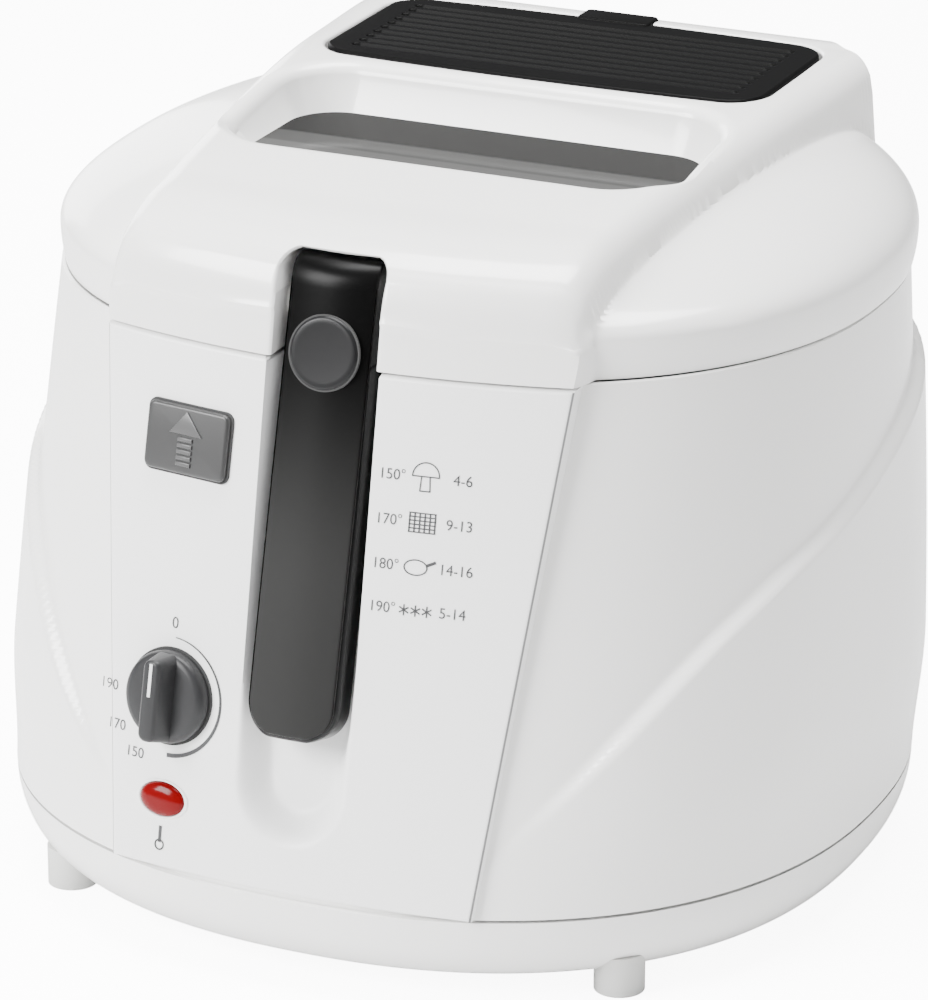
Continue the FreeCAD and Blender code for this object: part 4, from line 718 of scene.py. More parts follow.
# %% Outlines of the openings
WINDOW_MIDDLE, WINDOW_HALF, WINDOW_REACH, WINDOW_CORNER = 6.0, 76.0, 34.0, 21.0
BAY_MIDDLE, BAY_HALF, BAY_REACH, BAY_BOW, BAY_CORNER = 84.5, 78.0, 34.6, 2.6, 13.0


def rounded_outline(x, y, middle, half_x, half_y, corner):
    """Distance outside a rounded rectangle, and below zero inside it."""
    over_x = np.abs(x) - (half_x - corner)
    over_y = np.abs(y - middle) - (half_y - corner)
    outside = np.hypot(np.maximum(over_x, 0.0), np.maximum(over_y, 0.0))
    return outside + np.minimum(np.maximum(over_x, over_y), 0.0) - corner


def window_outline(x, y):
    return rounded_outline(x, y, WINDOW_MIDDLE, WINDOW_HALF, WINDOW_REACH, WINDOW_CORNER)


def filter_outline(x, y):
    reach = BAY_REACH + BAY_BOW * (1.0 - (x / BAY_HALF) ** 2)
    return rounded_outline(x, y, BAY_MIDDLE, BAY_HALF, reach, BAY_CORNER)


# %% Opening with a rounded lip
LIP_RINGS, EDGE_SEARCH = 6, 8.0


def pull_to(outline, x, y, wanted):
    """Moves plan points along the outline's slope until they lie at the wanted distance from it."""
    step = 0.05
    for _ in range(4):
        away = outline(x, y) - wanted
        slope_x = (outline(x + step, y) - outline(x - step, y)) / (2 * step)
        slope_y = (outline(x, y + step) - outline(x, y - step)) / (2 * step)
        size = np.maximum(slope_x ** 2 + slope_y ** 2, 1e-6)
        x, y = x - away * slope_x / size, y - away * slope_y / size
    return x, y


def open_well(bm, outline, lip, above, wall_to, wall_in):
    """Deletes the faces inside an outline and turns the edge down into a wall."""
    inside = faces_where(bm, lambda m: m.z > above and outline(m.x, m.y) < lip)
    bmesh.ops.delete(bm, geom=inside, context="FACES")
    edges = open_edges(bm, lambda v: v.co.z > above and outline(v.co.x, v.co.y) < lip + EDGE_SEARCH)
    verts = list(dict.fromkeys(v for e in edges for v in e.verts))
    for ring in range(LIP_RINGS + 2):
        if ring:
            verts, edges = extruded_ring(bm, edges)
        turn = min(ring, LIP_RINGS) / LIP_RINGS * math.pi / 2.0
        before = max(ring - 1, 0) / LIP_RINGS * math.pi / 2.0
        x, y = np.array([v.co.x for v in verts]), np.array([v.co.y for v in verts])
        x, y = pull_to(outline, x, y, lip * (1.0 - math.sin(turn)) - wall_in * (ring > LIP_RINGS))
        heights = lid_height(x, y) if ring == 0 else np.array([v.co.z for v in verts])
        if 0 < ring <= LIP_RINGS:
            heights = heights - lip * (math.cos(before) - math.cos(turn))
        if ring > LIP_RINGS:
            heights = np.full_like(heights, wall_to)
        for vert, place in zip(verts, np.stack((x, y, heights), axis=1)):
            vert.co = place
    print("well opened along", len(edges), "edges")


open_well(lid, window_outline, lip=5.0, above=226.0, wall_to=224.6, wall_in=5.0)
open_well(lid, filter_outline, lip=1.3, above=238.0, wall_to=234.0, wall_in=0.0)

# %% The finished lid
make_piece("lid_cover", lid, "lid", gloss_white, ("lid_shell",), crease=42.0)

# %% [markdown]
# ## The lift handle
# The handle is a black bar that hangs from a pivot under the lid. Its head turns back over the pivot,
# and a face plate lies over its front, graded by a painted reflection from grey to black. Bar and plate share
# one outline, so both are grids that narrow into the rounded foot.

# %% The handle's frame and outline
PIVOT, HANDLE_TILT = Vector((0.0, -87.0, 206.0)), math.radians(14.9)
HANDLE_HALF, HANDLE_FACE, HANDLE_LENGTH, FOOT_CORNER = 15.5, 14.8, 133.5, 11.0
HEAD_BEND, HEAD_REACH, HEAD_FLAT, FACE_BOW = 9.0, 6.0, 3.0, 0.012
handle_frame = Matrix.Translation(PIVOT) @ Matrix.Rotation(-HANDLE_TILT, 4, "X")
print("handle hangs from", PIVOT[:])


def handle_strip(half, face, corner, edge, length):
    """A front sheet that follows the handle from its foot to the back of its head."""
    straight = length + HEAD_REACH
    bend = HEAD_BEND * math.pi / 2.0
    total = straight + bend + HEAD_FLAT

    def shape(u, v, _):
        run = (1.0 - np.cos((v + 1.0) / 2.0 * np.pi / 2.0)) * total
        near_foot = np.clip(corner - run, 0.0, corner)
        width = half - corner + np.sqrt(np.maximum(corner * corner - near_foot * near_foot, 0.0))
        x = np.sin(u * np.pi / 2.0) * width
        margin = np.minimum(width - np.abs(x), run)
        soft = np.clip(edge - margin, 0.0, edge)
        sink = edge - np.sqrt(edge * edge - soft * soft)
        turn = np.clip((run - straight) / HEAD_BEND, 0.0, math.pi / 2.0)
        flat = np.maximum(run - straight - bend, 0.0)
        back = HEAD_BEND * (1.0 - np.cos(turn)) + flat
        rise = np.minimum(run, straight) - length + HEAD_BEND * np.sin(turn)
        y = -face + back + sink * np.cos(turn) + FACE_BOW * x * x * np.cos(turn)
        return x, y, rise - sink * np.sin(turn)
    return shape


# %% The bar and its face plate
HEAD_DROP, HEAD_BACK = 2.0, -7.0


def handle_sheet(half, face, corner, edge, length, back):
    """The handle's front sheet with its rim turned back."""
    bm = grid(44, 120)
    wrap(bm, handle_strip(half, face, corner, edge, length))
    merge(bm, 0.02)
    rim_verts, _ = extruded_ring(bm, open_edges(bm))
    for vert in rim_verts:
        if vert.co.z < HEAD_REACH + 1.0:
            vert.co.y = back
        else:
            vert.co.z -= HEAD_DROP
            vert.co.y = max(vert.co.y, HEAD_BACK)
    return stand(bm, handle_frame)


PLATE_INSET, PLATE_PROUD = 1.3, 0.5
BAR_EDGE, BAR_BACK, PLATE_EDGE, PLATE_BACK = 2.2, -3.0, 0.8, -12.5
bar = handle_sheet(HANDLE_HALF, HANDLE_FACE - PLATE_PROUD, FOOT_CORNER, BAR_EDGE, HANDLE_LENGTH, BAR_BACK)
make_piece("handle_bar", bar, "handle", black_gloss, ("handle_shell",), crease=50.0)
plate = handle_sheet(HANDLE_HALF - PLATE_INSET, HANDLE_FACE, FOOT_CORNER - PLATE_INSET, PLATE_EDGE,
                     HANDLE_LENGTH - PLATE_INSET, PLATE_BACK)
make_piece("handle_plate", plate, "handle", handle_black_with_sheen, ("handle_face",), crease=50.0)

# %% [markdown]
# ### Turned pieces
# The round button, the dial and the lamp are all turned shapes. A profile of a few points is spun round
# its axis, and then the piece is stood on the panel by a frame with its Z axis pointing outwards.


# %% Spinning a profile
def spun(profile, steps=72):
    bm = bmesh.new()
    verts = [bm.verts.new((radius, 0.0, height)) for radius, height in profile]
    edges = [bm.edges.new(pair) for pair in zip(verts, verts[1:])]
    bmesh.ops.spin(bm, geom=verts + edges, cent=(0, 0, 0), axis=(0, 0, 1), angle=2 * math.pi, steps=steps,
                   use_merge=True)
    merge(bm, 0.001)
    return bm


def outward_frame(place, out):
    """A frame at a place with its Z axis along a direction and its Y axis upwards."""
    out = Vector(out).normalized()
    right = Vector((0.0, 0.0, 1.0)).cross(out).normalized()
    turn = Matrix((right, out.cross(right), out)).transposed().to_4x4()
    return Matrix.Translation(place) @ turn


# %% The handle's round button
BUTTON_RADIUS, BUTTON_DROP = 11.2, 14.5
button_frame = handle_frame @ outward_frame((0.0, -HANDLE_FACE, -BUTTON_DROP), (0.0, -1.0, 0.0))
gap_ring = spun(((BUTTON_RADIUS + 0.7, -0.6), (BUTTON_RADIUS + 0.55, 0.16), (BUTTON_RADIUS - 0.4, 0.14),
                 (BUTTON_RADIUS - 0.5, -0.6)))
make_piece("button_gap", stand(gap_ring, button_frame), "handle", shadow_gap)
cap = spun(((0.0, 0.75), (5.0, 0.78), (9.0, 0.9), (10.2, 0.95), (10.8, 0.8), (BUTTON_RADIUS, 0.3),
            (BUTTON_RADIUS, -3.0)))
cap_grey = moulded("cap_grey", (0.009, 0.009, 0.0095), 0.34, shade=0.2, fine=1600.0, bump=0.03, shine=0.18)
make_piece("button_cap", stand(cap, button_frame), "handle_button", cap_grey,
           ("handle_button",))

# %% The temperature dial
DIAL_PLACE, DIAL_OUT, DIAL_RADIUS = (-44.0, -124.978, 84.0), (-0.13435, -0.97185, 0.19354), 14.6
GRIP_SIZE, GRIP_MIDDLE, GRIP_TAPER = (9.4, 28.4, 10.0), 7.2, (0.62, 0.90, 1.0)
GRIP_CORNER, GRIP_EDGE, GRIP_TOP = 2.6, 1.1, 11.8
dial_frame = outward_frame(DIAL_PLACE, DIAL_OUT)
dial = spun(((0.0, 5.0), (8.6, 5.0), (12.0, 4.8), (13.3, 4.4), (14.1, 3.6), (14.5, 2.4), (DIAL_RADIUS, 0.6),
             (13.8, 0.6)), 96)
grip = bmesh.new()
bmesh.ops.create_cube(grip, size=1.0)
bmesh.ops.scale(grip, vec=GRIP_SIZE, verts=grip.verts)
bmesh.ops.translate(grip, vec=(0.0, 0.0, GRIP_MIDDLE), verts=grip.verts)
bmesh.ops.scale(grip, vec=GRIP_TAPER, verts=[v for v in grip.verts if v.co.z > GRIP_MIDDLE])
soften(grip, [e for e in grip.edges if abs(e.verts[0].co.z - e.verts[1].co.z) > 1.0], GRIP_CORNER, 5)
soften(grip, [e for e in grip.edges if min(v.co.z for v in e.verts) > GRIP_TOP], GRIP_EDGE, 4)
join(dial, grip)
make_piece("dial", stand(dial, dial_frame), "knob", knob_grey, ("temperature_knob",))

# %% The dial's pointer and the gap round it
POINTER_HALVES, POINTER_PLACE = (0.55, 5.2, 1.0), (0.0, 6.6, 12.25)
pointer = grid(2, 8)
bmesh.ops.scale(pointer, vec=POINTER_HALVES, verts=pointer.verts)
bmesh.ops.translate(pointer, vec=POINTER_PLACE, verts=pointer.verts)
pointer_white = moulded("pointer_white", (0.7, 0.7, 0.7), 0.4, shade=0.1)
make_piece("dial_pointer", stand(pointer, dial_frame), "knob", pointer_white)
dial_gap = spun(((DIAL_RADIUS + 0.9, -1.0), (DIAL_RADIUS + 0.8, 0.3), (DIAL_RADIUS - 1.5, 0.3)))
make_piece("dial_gap", stand(dial_gap, dial_frame), "base", shadow_gap)

# %% The lamp lens and its bezel
LAMP_PLACE, LAMP_OUT = (-44.0, -131.527, 52.0), (-0.12395, -0.97323, 0.19354)
LAMP_HALVES = (8.3, 5.5, 1.0, 1.0)
lamp_frame = outward_frame(LAMP_PLACE, LAMP_OUT) @ Matrix.Diagonal(LAMP_HALVES)
lens = spun(((0.0, 2.3), (0.35, 2.2), (0.62, 1.85), (0.82, 1.3), (0.94, 0.7), (0.97, 0.1), (0.97, -2.0)), 64)
make_piece("lamp_dome", stand(lens, lamp_frame), "base", red_lens, ("lamp_lens",))
bezel = spun(((1.14, -0.5), (1.13, 0.25), (1.08, 0.5), (1.02, 0.45), (0.98, 0.1), (0.98, -1.0)), 64)
make_piece("lamp_bezel", stand(bezel, lamp_frame), "base", satin_white)

# %% [markdown]
# ## The lid release
# The release is a grey rectangular key with softened edges. A raised arrow made of a triangle and five bars
# shows which way the lid opens. The key is small and plain, so a block with bevelled edges is enough.

# %% The key
KEY_PLACE, KEY_OUT = (-44.0, -109.14, 162.5), (-0.14981, -0.96959, 0.19354)
KEY_WIDTH, KEY_TALL, KEY_BACK, KEY_PROUD, KEY_CORNER, KEY_EDGE = 30.0, 21.0, -6.0, 2.0, 2.4, 1.1
KEY_GAP, GAP_BACK, GAP_PROUD, GAP_CORNER, GAP_EDGE = 1.5, -3.0, 0.25, 3.0, 0.1
key_frame = outward_frame(KEY_PLACE, KEY_OUT)


def soft_block(width, tall, low, high, corner, edge):
    """A block with rounded upright corners and a softened top edge."""
    bm = bmesh.new()
    bmesh.ops.create_cube(bm, size=1.0)
    bmesh.ops.scale(bm, vec=(width, tall, high - low), verts=bm.verts)
    bmesh.ops.translate(bm, vec=(0.0, 0.0, (low + high) / 2.0), verts=bm.verts)
    upright = [e for e in bm.edges if abs(e.verts[0].co.z - e.verts[1].co.z) > 0.5 * (high - low)]
    soften(bm, upright, corner, 6)
    soften(bm, [e for e in bm.edges if min(v.co.z for v in e.verts) > high - 0.001], edge, 4)
    return bm


key = soft_block(KEY_WIDTH, KEY_TALL, KEY_BACK, KEY_PROUD, KEY_CORNER, KEY_EDGE)
make_piece("release_key", stand(key, key_frame), "release_button", button_grey,
           ("release_button",))
key_gap = soft_block(KEY_WIDTH + KEY_GAP, KEY_TALL + KEY_GAP, GAP_BACK, GAP_PROUD, GAP_CORNER, GAP_EDGE)
make_piece("release_gap", stand(key_gap, key_frame), "base", shadow_gap)

# %% The raised arrow
ARROW_BARS, BAR_HALVES, ARROW_PROUD, ARROW_EDGE = (0.0, -1.9, -3.8, -5.7, -7.6), (2.7, 0.62, 1.0), 0.7, 0.25
TIP_RADIUS, TIP_SHAPE, TIP_PLACE = 6.6, (1.05, 0.72, 1.0), (0.0, 4.0, 0.0)
ARROW_PLACE = (0.0, 0.3, KEY_PROUD - 0.1)
arrow = bmesh.new()
bmesh.ops.create_circle(arrow, cap_ends=True, radius=TIP_RADIUS, segments=3)
bmesh.ops.scale(arrow, vec=TIP_SHAPE, verts=arrow.verts)
bmesh.ops.translate(arrow, vec=TIP_PLACE, verts=arrow.verts)
for bar_place in ARROW_BARS:
    arrow_bar = bmesh.ops.create_grid(arrow, x_segments=1, y_segments=1, size=1.0)["verts"]
    bmesh.ops.scale(arrow, vec=BAR_HALVES, verts=arrow_bar)
    bmesh.ops.translate(arrow, vec=(0.0, bar_place, 0.0), verts=arrow_bar)
raised = bmesh.ops.extrude_face_region(arrow, geom=arrow.faces[:])
bmesh.ops.translate(arrow, vec=(0.0, 0.0, ARROW_PROUD), verts=new_verts(raised))
bmesh.ops.translate(arrow, vec=ARROW_PLACE, verts=arrow.verts)
soften(arrow, [e for e in arrow.edges if min(v.co.z for v in e.verts) > KEY_PROUD + 0.5], ARROW_EDGE, 2)
make_piece("release_arrow", stand(arrow, key_frame), "release_button", arrow_grey)

# %% [markdown]
# ## The filter cover
# The cover is a thin black plate with a bowed outline. Ten grooves with rounded ends run across it,
# and a small lip at the rear is for the fingernail. The grid's rows run along the grooves and only the
# outer rows follow the bow, so that every groove has the same clean walls.

# %% The ribbed cover
COVER_GAP, COVER_TOP, COVER_DEEP = 1.0, 240.5, 3.0
COVER_HALF, COVER_REACH, COVER_CORNER = BAY_HALF - COVER_GAP, BAY_REACH - COVER_GAP, BAY_CORNER - COVER_GAP
VENTS, VENT_PITCH, VENT_DEEP, VENT_HALF = 10, 5.5, 1.9, 66.0
VENT_OUTER, VENT_INNER, EDGE_DROP, EDGE_WIDTH = 1.7, 0.9, 0.9, 1.2
RIBBED_HALF, RIBBED_SHARE = VENTS * VENT_PITCH / 2.0, 16.0 / 19.0
TAB_WIDTH, TAB_DEEP, TAB_LOW, TAB_PROUD, TAB_CORNER, TAB_EDGE = 26.0, 11.0, 236.5, 0.6, 2.0, 0.9
TAB_PLACE = (0.0, 122.6, 0.0)


def cover_shape(u, v, _):
    x = COVER_HALF * np.sin(u * np.pi / 2.0)
    corner = np.clip(np.abs(x) - (COVER_HALF - COVER_CORNER), 0.0, COVER_CORNER)
    reach = COVER_REACH + BAY_BOW * (1.0 - (x / COVER_HALF) ** 2)
    reach = reach - COVER_CORNER + np.sqrt(COVER_CORNER ** 2 - corner ** 2)
    ribbed = np.minimum(RIBBED_HALF, reach * RIBBED_SHARE)
    edge = np.clip((np.abs(v) - RIBBED_SHARE) / (1.0 - RIBBED_SHARE), 0.0, 1.0)
    y = np.clip(v / RIBBED_SHARE, -1.0, 1.0) * ribbed + np.sign(v) * edge * (reach - ribbed)
    count = y / VENT_PITCH + VENTS / 2.0 - 0.5
    nearest = np.clip(np.round(count), 0, VENTS - 1)
    away = np.hypot((count - nearest) * VENT_PITCH, np.maximum(np.abs(x) - VENT_HALF, 0.0))
    sink = VENT_DEEP * soft_step(VENT_OUTER, VENT_INNER, away)
    margin = np.minimum(COVER_HALF - np.abs(x), reach - np.abs(y))
    rounded = EDGE_DROP * (1.0 - np.clip(margin / EDGE_WIDTH, 0.0, 1.0)) ** 2
    return x, BAY_MIDDLE + y, COVER_TOP - sink - rounded


cover_black = moulded("cover_black", (0.005, 0.005, 0.005), 0.3, shade=0.15, bump=0.0, shine=0.02)
cover = grid(160, 190)
wrap(cover, cover_shape)
cover_side, _ = extruded_ring(cover, open_edges(cover))
bmesh.ops.translate(cover, vec=(0.0, 0.0, -COVER_DEEP), verts=cover_side)
tab = soft_block(TAB_WIDTH, TAB_DEEP, TAB_LOW, COVER_TOP + TAB_PROUD, TAB_CORNER, TAB_EDGE)
bmesh.ops.translate(tab, vec=TAB_PLACE, verts=tab.verts)
join(cover, tab)
make_piece("filter_lid", cover, "filter_cover", cover_black, ("filter_cover",), crease=48.0)

# %% The cover's hinge pins
PIN_RADIUS, PIN_LENGTH, PIN_PLACE = 0.8, 17.0, (67.5, 52.6, 238.6)
cover_pins = bmesh.new()
for side in (-1.0, 1.0):
    place = (side * PIN_PLACE[0], *PIN_PLACE[1:])
    lying = Matrix.Translation(place) @ Matrix.Rotation(math.pi / 2.0, 4, "Y")
    bmesh.ops.create_cone(cover_pins, cap_ends=True, segments=24, radius1=PIN_RADIUS, radius2=PIN_RADIUS,
                          depth=PIN_LENGTH, matrix=lying)
make_piece("cover_pins", cover_pins, "filter_cover", black_satin, ("filter_hinge_pins",))

# %% [markdown]
# ## The frying basket
# The CAD cup only marks the basket's room. The real basket is welded from wire, so its wall and floor are
# drawn as a net of edges and each edge is turned into a wire.

# %% The wire basket
BASKET_TOP, BASKET_FOOT, BASKET_RIM, BASKET_FLOOR = 85.2, 77.2, 149.0, 78.0
WALL_WIRES, FLOOR_WIRES, FLOOR_PITCH, UPRIGHTS = 12, 10, 7.2, 64
NET_WIRE, RIM_WIRE = 0.55, 1.5
basket = bmesh.new()
bmesh.ops.create_cone(basket, segments=UPRIGHTS, radius1=BASKET_FOOT, radius2=BASKET_TOP,
                      depth=BASKET_RIM - BASKET_FLOOR)
bmesh.ops.translate(basket, vec=(0.0, 0.0, (BASKET_RIM + BASKET_FLOOR) / 2.0), verts=basket.verts)
for level in range(1, WALL_WIRES + 1):
    height = BASKET_FLOOR + (BASKET_RIM - BASKET_FLOOR) * level / (WALL_WIRES + 1.0)
    cut_faces(basket, basket.faces, (0.0, 0.0, height), (0.0, 0.0, 1.0))
floor_net = bmesh.ops.create_circle(basket, cap_ends=True, radius=BASKET_FOOT - 0.5, segments=UPRIGHTS)
bmesh.ops.translate(basket, vec=(0.0, 0.0, BASKET_FLOOR), verts=floor_net["verts"])
for line in range(-FLOOR_WIRES, FLOOR_WIRES + 1):
    for across in (Vector((1.0, 0.0, 0.0)), Vector((0.0, 1.0, 0.0))):
        floor_faces = faces_where(basket, lambda m: m.z < BASKET_FLOOR + 0.1)
        cut_faces(basket, floor_faces, across * line * FLOOR_PITCH, across)
bmesh.ops.wireframe(basket, faces=basket.faces, thickness=NET_WIRE, use_replace=True, use_boundary=True,
                    use_even_offset=True)
rim_turns = [step * math.pi / 6.0 for step in range(13)]
join(basket, spun([(BASKET_TOP - 0.4 + RIM_WIRE * math.cos(turn), BASKET_RIM + RIM_WIRE * math.sin(turn))
                   for turn in rim_turns]))
low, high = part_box("frying_basket")
basket_centre = [(low[axis] + high[axis]) / 2.0 / MILLIMETRE for axis in (0, 1)]
bmesh.ops.translate(basket, vec=(*basket_centre, 0.0), verts=basket.verts)
make_piece("wire_basket", basket, "basket", wire_steel, ("frying_basket",))

# %% [markdown]
# ## Printed marks
# The dial has plain numbers and an arc that gets thicker towards the hot end. A small cooking guide
# with simple pictures stands right of the handle. All of it is flat ink. Thin flat meshes stay sharp at any
# distance, so the marks are drawn flat and then laid on the panel's bulge.


# %% Laying flat marks on the panel
INK_LIFT = 0.16
ink = bmesh.new()


def stroke(points, width):
    """A flat line of one width through points given as (x, z)."""
    for (x0, z0), (x1, z1) in zip(points, points[1:]):
        length = math.hypot(x1 - x0, z1 - z0)
        verts = bmesh.ops.create_grid(ink, x_segments=2, y_segments=1, size=0.5)["verts"]
        bmesh.ops.scale(ink, vec=(length + width * 0.5, width, 1.0), verts=verts)
        bmesh.ops.rotate(ink, matrix=Matrix.Rotation(math.atan2(z1 - z0, x1 - x0), 3, "Z"), verts=verts)
        bmesh.ops.translate(ink, vec=((x0 + x1) / 2.0, (z0 + z1) / 2.0, 0.0), verts=verts)


def number(text, tall, x, z):
    """Plain figures, centred on a place."""
    letters = bpy.data.curves.new("number", "FONT")
    letters.body = text
    letters.size = tall
    letters.align_x = letters.align_y = "CENTER"
    holder = bpy.data.objects.new("number", letters)
    bpy.context.scene.collection.objects.link(holder)
    bpy.context.view_layer.update()
    flat = bpy.data.meshes.new_from_object(holder.evaluated_get(bpy.context.evaluated_depsgraph_get()))
    bpy.data.objects.remove(holder)
    flat.transform(Matrix.Translation((x, z, 0.0)))
    ink.from_mesh(flat)


def arc_points(x, z, across, tall, start, end, steps=24):
    """Points along part of an ellipse, between two angles in degrees."""
    turns = [math.radians(start + (end - start) * s / steps) for s in range(steps + 1)]
    return [(x + across * math.cos(t), z + tall * math.sin(t)) for t in turns]


# %% Marks round the dial
DIAL_X, _, DIAL_Z = DIAL_PLACE
NUMBER_TALL, NUMBER_RING, ZERO_TALL, ZERO_RING = 4.6, 23.0, 5.0, 22.5
ARC_RADIUS, ARC_STEPS, ARC_THIN, ARC_GROWTH = 18.2, 40, 0.35, 1.0
SIGN_FOOT, SIGN_LOW, SIGN_TOP, SIGN_BULB, SIGN_LINE, SIGN_STEM = 37.8, 38.8, 43.4, 1.5, 0.5, 1.1
number("0", ZERO_TALL, DIAL_X, DIAL_Z + ZERO_RING)
for text, turn in (("190", 183.0), ("170", 214.0), ("150", 240.0)):
    turn = math.radians(turn)
    number(text, NUMBER_TALL, DIAL_X + NUMBER_RING * math.cos(turn), DIAL_Z + NUMBER_RING * math.sin(turn))
arc = arc_points(DIAL_X, DIAL_Z, ARC_RADIUS, ARC_RADIUS, 88.0, -88.0, ARC_STEPS)
for step, pair in enumerate(zip(arc, arc[1:])):
    stroke(pair, ARC_THIN + ARC_GROWTH * step / ARC_STEPS)
stroke(arc_points(DIAL_X, SIGN_FOOT, SIGN_BULB, SIGN_BULB, 0.0, 360.0, 20), SIGN_LINE)
stroke(((DIAL_X, SIGN_LOW), (DIAL_X, SIGN_TOP)), SIGN_STEM)
print("dial marks", len(ink.faces), "faces")

# %% The cooking guide
GUIDE_X, GUIDE_ROWS, THIN_LINE = 36.0, (163.0, 149.5, 136.0, 123.0), 0.4
CAP_RADIUS, STEM_TOP, STEM_FOOT, STEM_TALL = 4.2, 1.3, 1.6, 4.0
NET_LEFT, NET_STEP, NET_HALF, NET_TALL, NET_RISE = 4.0, 1.6, 4.2, 2.9, 1.16
LEG_LEFT, LEG_ACROSS, LEG_TALL, BONE_START, BONE_END = 1.0, 3.6, 2.3, (2.4, 0.8), (5.0, 2.0)
STAR_REACH, STAR_STEP, NET_LINE, BONE_LINE, STAR_LINE = 1.6, 3.6, 0.5, 0.9, 0.45
GUIDE_HEAT, GUIDE_MINUTES = ("150°", "170°", "180°", "190°"), ("4-6", "9-13", "14-16", "5-14")
HEAT_LEFT, MINUTES_RIGHT = 10.5, 11.5
for z, heat, minutes in zip(GUIDE_ROWS, GUIDE_HEAT, GUIDE_MINUTES):
    number(heat, NUMBER_TALL, GUIDE_X - HEAT_LEFT, z)
    number(minutes, NUMBER_TALL, GUIDE_X + MINUTES_RIGHT, z)
cap_z, chips_z, leg_z, frost_z = GUIDE_ROWS
cap_low = cap_z + 0.4
cap_arc = arc_points(GUIDE_X, cap_low, CAP_RADIUS, CAP_RADIUS, 0.0, 180.0, 18)
stroke(cap_arc + [(GUIDE_X + CAP_RADIUS, cap_low)], THIN_LINE)
stroke([(GUIDE_X - STEM_TOP, cap_low), (GUIDE_X - STEM_FOOT, cap_z - STEM_TALL),
        (GUIDE_X + STEM_FOOT, cap_z - STEM_TALL), (GUIDE_X + STEM_TOP, cap_low)], THIN_LINE)
for line in range(6):
    x, z = GUIDE_X - NET_LEFT + NET_STEP * line, chips_z - NET_TALL + NET_RISE * line
    stroke([(x, chips_z - NET_TALL), (x, chips_z + NET_TALL)], NET_LINE)
    stroke([(GUIDE_X - NET_HALF, z), (GUIDE_X + NET_HALF, z)], THIN_LINE)
stroke(arc_points(GUIDE_X - LEG_LEFT, leg_z, LEG_ACROSS, LEG_TALL, 0.0, 360.0), THIN_LINE)
stroke([(GUIDE_X + x, leg_z + z) for x, z in (BONE_START, BONE_END)], BONE_LINE)
for star_x in (GUIDE_X - STAR_STEP, GUIDE_X, GUIDE_X + STAR_STEP):
    for turn in (math.pi / 2.0, math.pi / 6.0, math.pi * 5.0 / 6.0):
        dx, dz = STAR_REACH * math.cos(turn), STAR_REACH * math.sin(turn)
        stroke([(star_x - dx, frost_z - dz), (star_x + dx, frost_z + dz)], STAR_LINE)
wrap(ink, lambda x, z, _: (x, panel_depth(x, z) - INK_LIFT, z))
make_piece("printed_marks", ink, "base", print_ink)

# %% [markdown]
# ## Finishes for the parts that stay
# Most of these parts are inside and show only when the lid is open, so their CAD shapes are enough. The feet,
# the hinge and the window glass are plain shapes already. Each part gets the finish of its own material.

# %% Finishes by part
kept_parts = {
    foot_rubber: ("rubber_feet",),
    plain_steel: ("base_screws", "top_deck", "heat_shield", "shield_posts", "hinge_pins", "handle_pin",
                  "handle_brackets", "rocker_shaft", "handle_sector", "lift_arm", "thermostat_shaft",
                  "release_spring", "handle_button_spring", "latch_bracket"),
    bowl_coating: ("inner_bowl",),
    element_steel: ("heating_element", "thermal_cutout"),
    wire_steel: ("basket_bracket",),
    gloss_white: ("hinge_barrel", "hinge_towers"),
    inner_plastic: ("lid_liner", "filter_tray", "latch_hook", "lid_catch", "terminal_block", "lamp_holder",
                    "pivot_bushes"),
    silicone: ("lid_gasket",),
    black_rubber: ("window_seal", "cord_inlet", "thermostat"),
    mesh_metal: ("grease_filter",),
    charcoal_foam: ("charcoal_filter",),
    smoked_glass: ("window_glass",),
}
for finish, names in kept_parts.items():
    for name in names:
        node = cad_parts[name]
        node.data.materials.clear()
        node.data.materials.append(finish)
print("kept parts", sum(len(names) for names in kept_parts.values()))

# %% [markdown]
# ## Studio
# A pale floor fills the view and big soft lamps stand round the fryer, so that the white shells
# show their shape by gentle greys and long highlights. The floor glows for the camera alone, which keeps it
# white and doesn't light the fryer.

# %% The floor
FLOOR_RADIUS, FLOOR_GLOW = 9.0, 9.0
floor_bm = bmesh.new()
bmesh.ops.create_circle(floor_bm, cap_ends=True, radius=FLOOR_RADIUS, segments=96)
floor_mesh = bpy.data.meshes.new("studio_floor")
floor_bm.to_mesh(floor_mesh)
floor_bm.free()
floor_white = moulded("floor_white", (0.92, 0.92, 0.92), 0.6, shade=0.02, broad=2.0)
floor_shader = floor_white.node_tree.nodes["Principled BSDF"]
floor_shader.inputs["Emission Color"].default_value = (FLOOR_GLOW, FLOOR_GLOW, FLOOR_GLOW, 1.0)
seen = floor_white.node_tree.nodes.new("ShaderNodeLightPath")
floor_white.node_tree.links.new(seen.outputs["Is Camera Ray"], floor_shader.inputs["Emission Strength"])
floor_mesh.materials.append(floor_white)
studio_floor = bpy.data.objects.new("studio_floor", floor_mesh)
bpy.context.scene.collection.objects.link(studio_floor)
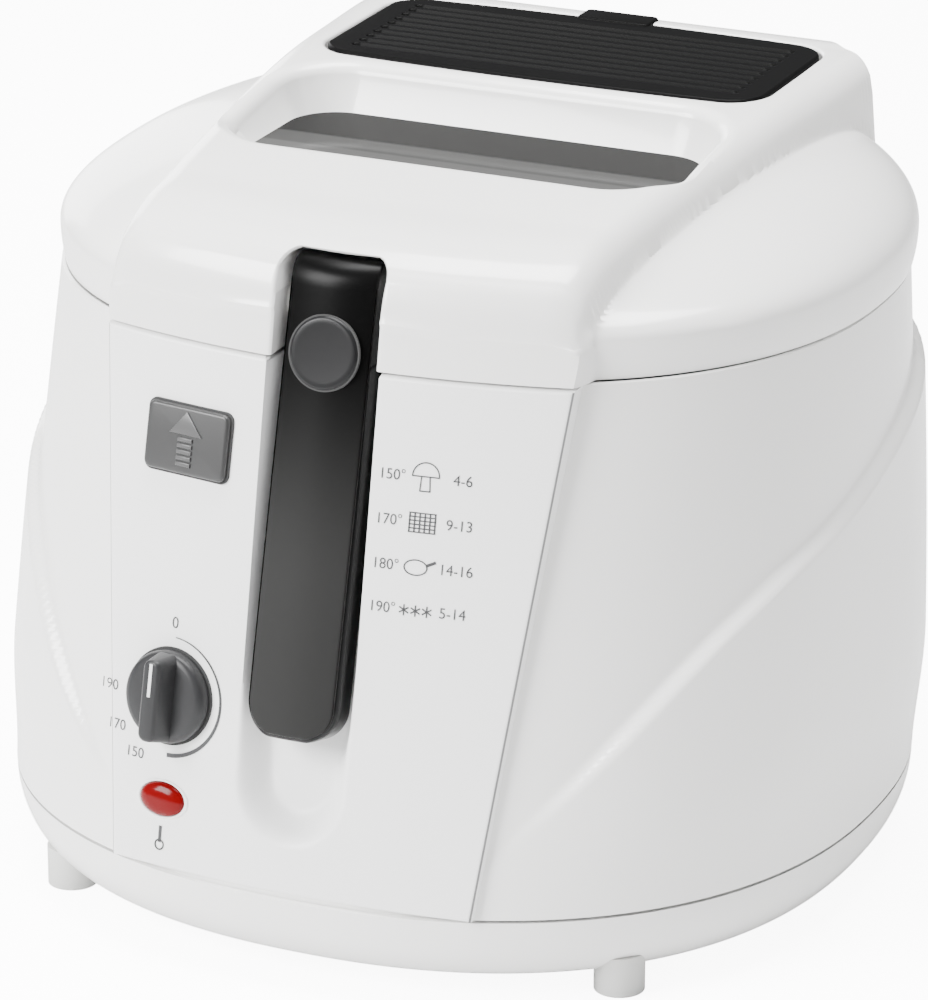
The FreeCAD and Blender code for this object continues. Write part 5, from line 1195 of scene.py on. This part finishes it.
print("floor radius", FLOOR_RADIUS, "m")


# %% The lamps and the sky
def soft_lamp(name, place, aim, wide, tall, power):
    lamp = bpy.data.lights.new(name, "AREA")
    lamp.shape = "RECTANGLE"
    lamp.size, lamp.size_y, lamp.energy = wide, tall, power
    holder = bpy.data.objects.new(name, lamp)
    holder.location = place
    holder.rotation_euler = (Vector(aim) - Vector(place)).to_track_quat("-Z", "Y").to_euler()
    bpy.context.scene.collection.objects.link(holder)


soft_lamp("front_lamp", (-1.1, -1.5, 1.2), (0.0, 0.0, 0.1), 1.0, 1.0, 112.0)
soft_lamp("top_lamp", (0.0, 0.1, 1.7), (0.0, 0.0, 0.1), 1.2, 0.8, 84.0)
soft_lamp("side_lamp", (1.7, -0.2, 0.8), (0.0, 0.0, 0.12), 0.4, 1.3, 5.0)
soft_lamp("rear_lamp", (-1.4, 1.3, 0.5), (0.0, 0.0, 0.12), 0.9, 0.9, 18.0)
sky = bpy.data.worlds.new("studio_sky")
sky.use_nodes = True
sky.node_tree.nodes["Background"].inputs["Color"].default_value = (0.95, 0.96, 1.0, 1.0)
sky.node_tree.nodes["Background"].inputs["Strength"].default_value = 0.2
bpy.context.scene.world = sky
print("lamps", len(bpy.data.lights))

# %% The camera
VIEW_TURN, VIEW_RISE, VIEW_DISTANCE = math.radians(24.2), math.radians(21.0), 1.7844
VIEW_TARGET, FOCAL_LENGTH = Vector((0.0019, -0.0065, 0.1143)), 200.15
level = math.cos(VIEW_RISE)
ahead = Vector((-math.sin(VIEW_TURN) * level, math.cos(VIEW_TURN) * level, -math.sin(VIEW_RISE)))
camera_data = bpy.data.cameras.new("camera")
camera_data.sensor_fit = "VERTICAL"
camera_data.sensor_height = 36.0
camera_data.lens = FOCAL_LENGTH
camera = bpy.data.objects.new("camera", camera_data)
camera.location = VIEW_TARGET - ahead * VIEW_DISTANCE
camera.rotation_euler = ahead.to_track_quat("-Z", "Y").to_euler()
bpy.context.scene.collection.objects.link(camera)
bpy.context.scene.camera = camera
print("camera at", camera.location[:])
